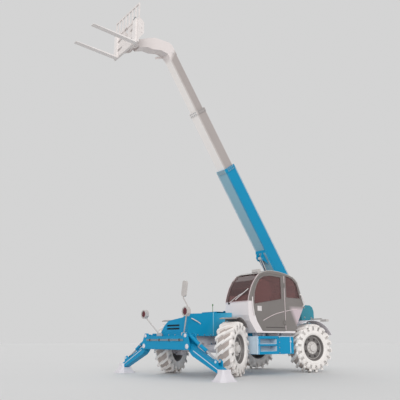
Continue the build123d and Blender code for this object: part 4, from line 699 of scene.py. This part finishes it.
def cushion(name, low, high, turn, round_edges):
    """A padded block between two corners, turned about its middle, and swollen by pressure."""
    mesh = bmesh.new()
    shrink = Vector((0.012, 0.012, 0.012))   # room to swell into
    block(mesh, low + shrink, high - shrink, round_edges, turn)
    soft = piece(name, mesh, seat_cloth, "chassis")
    remesh = soft.modifiers.new("even mesh", "REMESH")
    remesh.mode = "VOXEL"
    remesh.voxel_size = VOXEL
    even = bpy.data.meshes.new_from_object(soft.evaluated_get(bpy.context.evaluated_depsgraph_get()))
    soft.modifiers.clear()
    soft.data = even
    rest = [vert.co.copy() for vert in even.vertices]
    cloth = soft.modifiers.new("swell", "CLOTH")
    cloth.settings.use_pressure = True
    cloth.settings.uniform_pressure_force = PRESSURE
    cloth.settings.effector_weights.gravity = 0.0
    for step in range(1, FRAMES + 1):
        bpy.context.scene.frame_set(step)
    swollen = soft.evaluated_get(bpy.context.evaluated_depsgraph_get()).data
    moved = [vert.co.copy() for vert in swollen.vertices]
    soft.modifiers.clear()
    bpy.context.scene.frame_set(1)
    for vert, start, end in zip(even.vertices, rest, moved):
        way = end - start
        vert.co = start + way.normalized() * min(way.length, CAP)
    for polygon in even.polygons:
        polygon.use_smooth = True
    smooth = soft.modifiers.new("smooth", "SUBSURF")
    smooth.levels = smooth.render_levels = 1
    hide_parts("seat")
    print(name, len(even.vertices), "points")
    return soft


SEAT_LOW, SEAT_HIGH = (Vector(corner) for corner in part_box("seat"))
LEAN = Matrix.Rotation(math.radians(-9), 4, "Y")
CUSHION_EDGE = 0.04
low = Vector((SEAT_LOW.x + 0.10, SEAT_LOW.y, 1.27))
high = Vector((SEAT_HIGH.x, SEAT_HIGH.y, 1.39))
cushion("seat_cushion", low, high, None, CUSHION_EDGE)
low = Vector((SEAT_LOW.x + 0.04, SEAT_LOW.y + 0.03, 1.38))
high = Vector((SEAT_LOW.x + 0.15, SEAT_HIGH.y - 0.03, 1.97))
cushion("seat_back", low, high, LEAN, CUSHION_EDGE)

# %% The seat's base: a plinth, a bellows and a slide
mesh = bmesh.new()
block(mesh, spot(-1875, 500, 981), spot(-1525, 860, 1040), 0.01)
for i in range(4):
    rise = 1045 + 45 * i
    block(mesh, spot(-1855 + 12 * (i % 2), 520, rise), spot(-1545 - 12 * (i % 2), 840, rise + 42), 0.014)
block(mesh, spot(-1880, 500, 1225), spot(-1500, 860, 1268), 0.008)
seat_base = piece("seat_base", mesh, dark_plastic, "chassis")
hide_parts("seat")

# %% [markdown]
# ## The nose
#
# The cover's two vents are open to the radiator, so a dark mesh stands behind them. The lamps are pressed
# shells with a ribbed lens set back in them, and the mirror is silvered glass in a moulded case.

# %% Vents, catches and a handle
NOSE_X = 780
mesh = bmesh.new()
block(mesh, spot(NOSE_X - 40, -290, 1000), spot(NOSE_X - 24, 210, 1110), 0.002)
piece("vent_mesh", mesh, vent_dark, "chassis")
mesh = bmesh.new()
for z in (1003, 1037, 1073, 1107):
    block(mesh, spot(NOSE_X - 3, -282, z - 3), spot(NOSE_X + 3, 202, z + 3), 0.002)
piece("vent_lips", mesh, vent_dark, "chassis")
points = [spot(*point) for point in ((690, 516, 1235), (670, 540, 1225), (450, 540, 1135), (430, 516, 1122))]
rail("cover_handle", points, 0.012, cowl_plastic, "chassis")
mesh = bmesh.new()
block(mesh, spot(35, 516, 868), spot(55, 521, 1390), 0.002)
seam_edge = finish("pale edge of the cover's seam", "#8FC7DA", "#7ABBD1", 90, 5, 0.1, 0.4)
piece("cover_seam", mesh, seam_edge, "chassis")
mesh = bmesh.new()
bar(mesh, spot(46, 500, 1385), spot(46, 500, 1530), 0.006, 10)
ease(mesh, bar(mesh, spot(46, 500, 1530), spot(46, 500, 1575), 0.014, 12), 0.003)
marker_green = finish("green marker", "#3F7A3C", "#346B32", 30, 3, 0.1, 0.5)
piece("marker_stub", mesh, marker_green, "chassis")

# %% Cover bolts
mesh = bmesh.new()
for x in range(-450, 700, 190):
    bolt(mesh, spot(x, 515, 885), (0, 1, 0), 0.017)
for y in (-440, -200, 40, 280, 470):
    bolt(mesh, spot(NOSE_X, y, 885), (1, 0, 0), 0.017)
piece("cover_bolts", mesh, zinc, "chassis")

# %% Lenses and the mirror's glass
LAMP_Y, LAMP_Z, LAMP_FACE = 800, 1360, 1075
SCREW_CIRCLE = 97 * 0.98
for hand, name in ((1, "left"), (-1, "right")):
    mesh = bmesh.new()
    turn = Matrix.Rotation(math.pi / 2, 4, "Y") @ Matrix.Rotation(math.radians(22.5), 4, "Z")
    out = Matrix.Translation(spot(LAMP_FACE + 6, hand * LAMP_Y, LAMP_Z)) @ turn
    lens = bmesh.ops.create_cone(
        mesh, cap_ends=True, segments=8, radius1=0.080, radius2=0.072, depth=0.018, matrix=out
    )
    ease(mesh, lens["verts"], 0.004)
    for step in (-2, -1, 0, 1, 2):
        y = hand * LAMP_Y + step * 24
        low = spot(LAMP_FACE + 14, y - 4, LAMP_Z - 45)
        block(mesh, low, spot(LAMP_FACE + 19, y + 4, LAMP_Z + 45), 0.0015)
    piece("lamp_lens_" + name, mesh, amber_lens, "chassis")
    mesh = bmesh.new()
    for i in range(8):
        about = math.radians(45 * i)
        y = hand * LAMP_Y + SCREW_CIRCLE * math.cos(about)
        bolt(mesh, spot(LAMP_FACE + 24, y, LAMP_Z + SCREW_CIRCLE * math.sin(about)), (1, 0, 0), 0.009)
    piece("lamp_screws_" + name, mesh, zinc, "chassis")

MIRROR_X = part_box("mirror")[0][0]
MIRROR_Y, MIRROR_Z = 0.722, 1.8498   # the middle of its case
mesh = bmesh.new()
glass_mid = Vector((MIRROR_X, MIRROR_Y, MIRROR_Z))
size = Matrix.Diagonal((0.004, 0.118, 0.30, 1))
turn = Matrix.Translation(glass_mid) @ Matrix.Rotation(math.radians(-10), 4, "X") @ size
ease(mesh, bmesh.ops.create_cube(mesh, size=1.0, matrix=turn)["verts"], 0.0015)
piece("mirror_glass", mesh, mirror_silver, "chassis")

# %% [markdown]
# ## Tank and steps
#
# The steps are cut into the box under the door. Their treads are pale punched plate, and the box's front
# end is a pale moulded corner. The tank has a cap, a band along its top and a sight strip down its side.

# %% Treads and the box's corner
TREAD_PLATE = finish("pale punched tread plate", "#C9D8E4", "#B5C8D6", 60, 8, 1.2, 0.6)
mesh = bmesh.new()
for z in (520, 680):
    block(mesh, spot(-1408, 905, z), spot(-852, 1118, z + 10), 0.003)
    for step in range(9):
        x = -1380 + 62 * step
        block(mesh, spot(x, 925, z + 9), spot(x + 26, 1105, z + 14), 0.002)
for z in (580, 740):
    block(mesh, spot(-1408, 901, z - 58), spot(-852, 907, z + 58), 0.002)
    block(mesh, spot(-1409, 905, z - 58), spot(-1404, 1116, z + 58), 0.002)
piece("step_treads", mesh, TREAD_PLATE, "chassis")
mesh = bmesh.new()
for z in (641, 801):
    block(mesh, spot(-1470, 1119, z), spot(-795, 1126, z + 34), 0.003)
piece("step_bands", mesh, blue_enamel, "chassis")
mesh = bmesh.new()
bar(mesh, spot(-800, 1085, 458), spot(-800, 1085, 857), 0.036, 24)
block(mesh, spot(-782, 310, 460), spot(-770, 1090, 856), 0.004)
piece("step_corner", mesh, TREAD_PLATE, "chassis")

# %% Tank band, sight strip and cap
mesh = bmesh.new()
block(mesh, spot(-2030, 1117, 846), spot(-1482, 1126, 862), 0.003)
block(mesh, spot(-1905, 1118, 470), spot(-1885, 1125, 840), 0.003)
bar(mesh, spot(-1895, 1118, 738), spot(-1895, 1136, 738), 0.026, 24)
piece("tank_trims", mesh, TREAD_PLATE, "chassis")
mesh = bmesh.new()
for x in (-2010, -1500):
    for z in (480, 600, 720, 830):
        bolt(mesh, spot(x, 1120, z), (0, 1, 0), 0.016)
piece("tank_bolts", mesh, zinc, "chassis")

# %% [markdown]
# ## Stabilisers
#
# Each leg swings on a pin through the beam's ears, pushed by its own cylinder. A pin is kept in by a
# plate and two bolts. Steel pipes feed the cylinders, clipped along the beam.

# %% Pin plates on the beam
mesh = bmesh.new()
for hand in (1, -1):
    for y, z, wide in ((820, 640, 52), (760, 865, 40)):
        for x, out in ((1045, 1), (805, -1)):
            foot = spot(x, hand * y, z)
            disc(mesh, foot, Vector((0.010 * out, 0, 0)), wide / 1000, 24, 0.002)
            disc(mesh, foot, Vector((0.022 * out, 0, 0)), wide / 1900, 16, 0.002)
            for turn in (-0.7, 0.7):
                side = Vector((0.010 * out, turn * wide / 1000, turn * wide / 1400))
                bolt(mesh, foot + side, (out, 0, 0), 0.013)
piece("beam_pin_plates", mesh, pale_primer, "chassis")
mesh = bmesh.new()
block(mesh, spot(1044, -640, 842), spot(1051, 640, 858), 0.002)
block(mesh, spot(1044, -870, 572), spot(1051, 870, 588), 0.002)
piece("beam_edges", mesh, blue_enamel, "chassis")
for z in (760, 785):
    points = [spot(1056, y, z) for y in (-700, -300, 300, 700)]
    rail("beam_pipe_" + str(z), points, 0.007, zinc, "chassis")
mesh = bmesh.new()
for y in (-560, -190, 190, 560):
    block(mesh, spot(1043, y - 14, 745), spot(1064, y + 14, 800), 0.004)
    bolt(mesh, spot(1064, y, 773), (1, 0, 0), 0.012)
piece("pipe_clips", mesh, dark_plastic, "chassis")

# %% Leg ribs, shoe pins and gland nuts
LEG_X, BARREL_LENGTH = 925, 0.438
for hand, name in ((1, "left"), (-1, "right")):
    pivot = spot(LEG_X, hand * 820, 640)
    ankle = spot(LEG_X, hand * 1845, 170)
    way = (ankle - pivot).normalized()
    up = Vector((0, -way.z * hand, way.y * hand))
    mesh = bmesh.new()
    for x in (-0.077, 0.077):
        start = pivot.lerp(ankle, 0.16) + Vector((x, 0, 0)) - up * 0.012
        end = pivot.lerp(ankle, 0.93) + Vector((x, 0, 0)) - up * 0.006
        bar(mesh, start, end, 0.009, 12)
    eye = pivot + way * 0.9 + up * 0.1
    for side in (-1, 1):
        for place, reach, radius in ((eye, 0.086, 0.028), (ankle, 0.084, 0.030)):
            start = place + Vector((0.060 * side, 0, 0))
            ease(mesh, bar(mesh, start, place + Vector((reach * side, 0, 0)), radius, 16), 0.003)
    piece("leg_trims_" + name, mesh, TREAD_PLATE, "leg_" + name)
    slide = Vector(JOINTS["leg_rod_" + name + "_extend"]["axis"])
    mouth = spot(LEG_X, hand * 760, 865) + slide * BARREL_LENGTH
    mesh = bmesh.new()
    bar(mesh, mouth - slide * 0.036, mouth - slide * 0.004, 0.043, 24)
    bar(mesh, mouth - slide * 0.004, mouth + slide * 0.006, 0.034, 24)
    piece("leg_gland_" + name, mesh, zinc, "leg_barrel_" + name)

# %% [markdown]
# ## The boom
#
# Two steel pipes run up the boom's flank in clips, weld seams follow its edges, bolts hold the wear pads
# in each collar, and two proud blocks on the middle section take the extension chains.

# %% Boom axes and bolts round the collars
ALONG = Vector(BOOM_LIFT)
ACROSS = Vector((-ALONG.z, 0, ALONG.x))
PIVOT = Vector(JOINTS["boom_lift"]["pos_m"])
BOOM_MIDDLE = 30                 # the sections' middle, across the boom from its pivot


def on_boom(s, y, n):
    """A place on the boom in millimetres: along it from its pivot, to the left, and across it."""
    return PIVOT + ALONG * (s / 1000) + Vector((0, y / 1000, 0)) + ACROSS * (n / 1000)


for body, label, half_w, half_d, end in (
    ("base_section", "base", 192, 212, 4080), ("mid_section", "mid", 167, 184, 5800),
):
    mesh = bmesh.new()
    for s in (end - 85, end - 30):
        for n in (-110, -40, 40, 110):
            for hand in (1, -1):
                bolt(mesh, on_boom(s, hand * half_w, BOOM_MIDDLE + n), (0, hand, 0), 0.019)
        for y in (-100, -35, 35, 100):
            bolt(mesh, on_boom(s, y, BOOM_MIDDLE + half_d), ACROSS, 0.019)
            bolt(mesh, on_boom(s, y, BOOM_MIDDLE - half_d), -ACROSS, 0.019)
    piece("wear_pad_bolts_" + label, mesh, zinc, body)

# %% Pipes and clips on the base section, seams on its edges
for n in (70, 92):
    points = [on_boom(s, -191, n) for s in (150, 900, 2400, 3850)]
    rail("boom_pipe_" + str(n), points, 0.008, zinc, "base_section")
mesh = bmesh.new()
for s in range(300, 3900, 700):
    for n in (60, 102):
        bolt(mesh, on_boom(s, -181, n), (0, -1, 0), 0.012)
    bar(mesh, on_boom(s - 12, -184, 81), on_boom(s + 12, -184, 81), 0.016, 4)
piece("boom_pipe_clips", mesh, dark_plastic, "base_section")
mesh = bmesh.new()
for hand in (1, -1):
    for n in (-165, 225):
        bar(mesh, on_boom(-300, hand * 179, n), on_boom(3965, hand * 179, n), 0.005, 8)
piece("boom_weld_seams", mesh, boom_enamel_and_painted_light, "base_section")

# %% Chain blocks on the middle section, and the head's pins
mesh = bmesh.new()
CHAIN_S = 5640         # clear of the base's collar when the boom is drawn in
for y in (60, -60):
    ease(mesh, bar(mesh, on_boom(CHAIN_S, y, 202), on_boom(CHAIN_S, y, 236), 0.040, 6), 0.004)
piece("chain_blocks", mesh, cowl_plastic, "mid_section")
mesh = bmesh.new()
for hand in (1, -1):
    foot = on_boom(7420, hand * 125, 60)
    thick = Vector((0, hand * 0.012, 0))
    disc(mesh, foot, thick, 0.040, 24, 0.003)
    for aside in (0.020, -0.020):
        bolt(mesh, foot + thick + ALONG * aside, (0, hand, 0), 0.014)
piece("head_pin_plates", mesh, cowl_plastic, "fly_section")

# %% [markdown]
# ## Carriage and forks
#
# The forks hang on two bars and are locked by spring pins. The carriage's plate is bolted to its side
# cheeks, and its pin is held by plates.

# %% Fork locks, pin plates and bolts
CARRIAGE_LOW, CARRIAGE_HIGH = (Vector(corner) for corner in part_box("carriage"))
FORK_LOW, FORK_HIGH = (Vector(corner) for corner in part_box("forks"))
TILT_PIN = Vector(JOINTS["carriage_tilt"]["pos_m"])
mesh = bmesh.new()
for y in (-0.435, 0.435):
    top = Vector((FORK_LOW.x + 0.020, y, FORK_HIGH.z))
    block(mesh, top + Vector((-0.016, -0.05, -0.012)), top + Vector((0.03, 0.05, 0.022)), 0.005)
    disc(mesh, top, Vector((0, 0, 0.055)), 0.012, 16, 0.002)
    ease(mesh, bar(mesh, top + Vector((0, 0, 0.05)), top + Vector((0, 0, 0.062)), 0.024, 16), 0.003)
piece("fork_locks", mesh, zinc, "fork_carriage")
mesh = bmesh.new()
for hand in (1, -1):
    foot = TILT_PIN + Vector((0, hand * 0.161, 0))
    disc(mesh, foot, Vector((0, hand * 0.014, 0)), 0.062, 24, 0.003)
    for turn in range(3):
        about = math.tau * turn / 3
        side = Vector((0.042 * math.cos(about), hand * 0.014, 0.042 * math.sin(about)))
        bolt(mesh, foot + side, (0, hand, 0), 0.014)
    for z in (0.10, 0.22, 0.34):
        bolt(mesh, Vector((CARRIAGE_HIGH.x - 0.12, hand * 0.55, TILT_PIN.z + z)), (0, hand, 0), 0.016)
piece("carriage_pin_plates", mesh, cowl_plastic, "fork_carriage")
BACKREST_X, BACKREST_FOOT = CARRIAGE_LOW.x + 0.17, 8.16
mesh = bmesh.new()
for y in (-0.47, -0.31, -0.157, 0.157, 0.31, 0.47):
    top = Vector((BACKREST_X, y, CARRIAGE_HIGH.z - 0.03))
    bar(mesh, Vector((BACKREST_X, y, BACKREST_FOOT)), top, 0.004, 8)
piece("backrest_welds", mesh, carriage_enamel, "fork_carriage")

# %% [markdown]
# ## The rear and the right side
#
# The counterweight is a rough casting, bolted on. The rear lamps have a red lens and a clear one.
# The bonnet on the right side hides the engine: a mesh stands behind its louvres, and two catches hold it.

# %% Rear lamps and the weight's bolts
LAMP_BOX_LOW, LAMP_BOX_HIGH = (Vector(corner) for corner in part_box("rear_lamps"))
red_lens = finish("moulded lens, red", "#8E2A2A", "#7A2020", 30, 3, 0.3, 0.2)
clear_lens = finish("moulded lens, clear", "#E8E6E0", "#DAD8D2", 30, 3, 0.3, 0.15)
for name, material, near, far in (("red", red_lens, 0.02, 0.09), ("clear", clear_lens, 0.10, 0.17)):
    mesh = bmesh.new()
    for hand in (1, -1):
        y0, y1 = sorted((hand * (LAMP_BOX_HIGH.y - near), hand * (LAMP_BOX_HIGH.y - far)))
        low = Vector((LAMP_BOX_LOW.x - 0.006, y0, LAMP_BOX_LOW.z + 0.008))
        block(mesh, low, Vector((LAMP_BOX_LOW.x + 0.004, y1, LAMP_BOX_LOW.z + 0.052)), 0.004)
    piece("rear_lens_" + name, mesh, material, "chassis")
WEIGHT_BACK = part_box("counterweight")[0][0]
mesh = bmesh.new()
for y in (-0.42, -0.14, 0.14, 0.42):
    for z in (0.80, 1.12):
        bolt(mesh, Vector((WEIGHT_BACK, y, z)), (-1, 0, 0), 0.028)
for hand in (1, -1):
    for x, z in ((0.12, 1.36), (0.40, 1.36), (0.40, 1.62)):
        bolt(mesh, Vector((WEIGHT_BACK + x, hand * 0.55, z)), (0, hand, 0), 0.026)
piece("weight_bolts", mesh, zinc, "chassis")

# %% Bonnet mesh, catches and bay bolts
BAY_LOW, BAY_HIGH = (Vector(corner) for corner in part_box("engine_bay"))
mid_x = (BAY_LOW.x + BAY_HIGH.x) / 2
for body, name, z0, z1 in (("chassis", "bay_mesh", 0.72, 1.00), ("hood", "bonnet_mesh", 1.10, 1.22)):
    mesh = bmesh.new()
    low = Vector((mid_x - 0.33, BAY_LOW.y + 0.0145, z0))
    block(mesh, low, Vector((mid_x + 0.33, BAY_LOW.y + 0.020, z1)), 0.001)
    piece(name, mesh, vent_dark, body)
mesh = bmesh.new()
for step in (-0.42, 0.42):
    low = Vector((mid_x + step - 0.03, BAY_LOW.y - 0.008, 1.092))
    block(mesh, low, Vector((mid_x + step + 0.03, BAY_LOW.y, 1.15)), 0.004)
    bolt(mesh, Vector((mid_x + step, BAY_LOW.y - 0.008, 1.135)), (0, -1, 0), 0.016)
piece("bonnet_catches", mesh, dark_plastic, "hood")
mesh = bmesh.new()
for i in range(6):
    x = BAY_LOW.x + 0.05 + i * (BAY_HIGH.x - BAY_LOW.x - 0.1) / 5
    bolt(mesh, Vector((x, BAY_LOW.y, 0.665)), (0, -1, 0), 0.016)
piece("bay_bolts", mesh, zinc, "chassis")

# %% The boom's pivot plates on the tower
mesh = bmesh.new()
for hand in (1, -1):
    foot = PIVOT + Vector((0, hand * 0.284, 0))
    disc(mesh, foot, Vector((0, hand * 0.012, 0)), 0.075, 32, 0.003)
    for turn in range(4):
        about = math.tau * (turn + 0.5) / 4
        side = Vector((0.052 * math.cos(about), hand * 0.012, 0.052 * math.sin(about)))
        bolt(mesh, foot + side, (0, hand, 0), 0.016)
piece("pivot_plates", mesh, zinc, "chassis")

# %% [markdown]
# ## The portrait's setting
#
# A pale floor that carries on as far as the eye sees, a pale sky, and two soft lamps far away: a low one
# from the front left, which reaches under the arches, and a weak one from behind. A far lamp with a wide
# angle lights evenly, so it leaves no bright pool on the floor.

# %% Camera
camera_data = bpy.data.cameras.new("camera")
camera_data.sensor_width = 36.0
camera_data.lens = 44.3
camera = placed("camera", camera_data)
camera.location = (FRONT_AXLE_X + 7.67, 9.32, 0.757)
CAMERA_RISE = 0.2784
CAMERA_YAW = -2.2583
camera.rotation_euler = (math.pi / 2 + CAMERA_RISE, 0.0, CAMERA_YAW - math.pi / 2)
bpy.context.scene.camera = camera

# %% Floor
mesh = bmesh.new()
bmesh.ops.create_grid(mesh, x_segments=1, y_segments=1, size=150.0)
floor_data = bpy.data.meshes.new("floor")
mesh.to_mesh(floor_data)
mesh.free()
floor = placed("floor", floor_data)
floor_data.materials.append(finish("pale studio floor", "#DCDCDC", "#D8D8D8", 4000, 40, 0.0, 0.9))

# %% World and lamps
world = bpy.data.worlds.new("studio")
bpy.context.scene.world = world
world.use_nodes = True
sky = world.node_tree
background = sky.nodes["Background"]
background.inputs["Color"].default_value = paint("#F2F2F2")
background.inputs["Strength"].default_value = 0.74


def soft_sun(name, towards_lamp, spread, strength):
    data = bpy.data.lights.new(name, "SUN")
    data.angle = math.radians(spread)
    data.energy = strength
    lamp = placed(name, data)
    lamp.rotation_euler = Vector(towards_lamp).to_track_quat("Z", "Y").to_euler()


soft_sun("low key", (1.0, 1.3, 0.32), 50, 1.95)
soft_sun("far fill", (-0.7, -1.0, 0.8), 60, 0.6)

bpy.context.scene.view_settings.view_transform = "Standard"
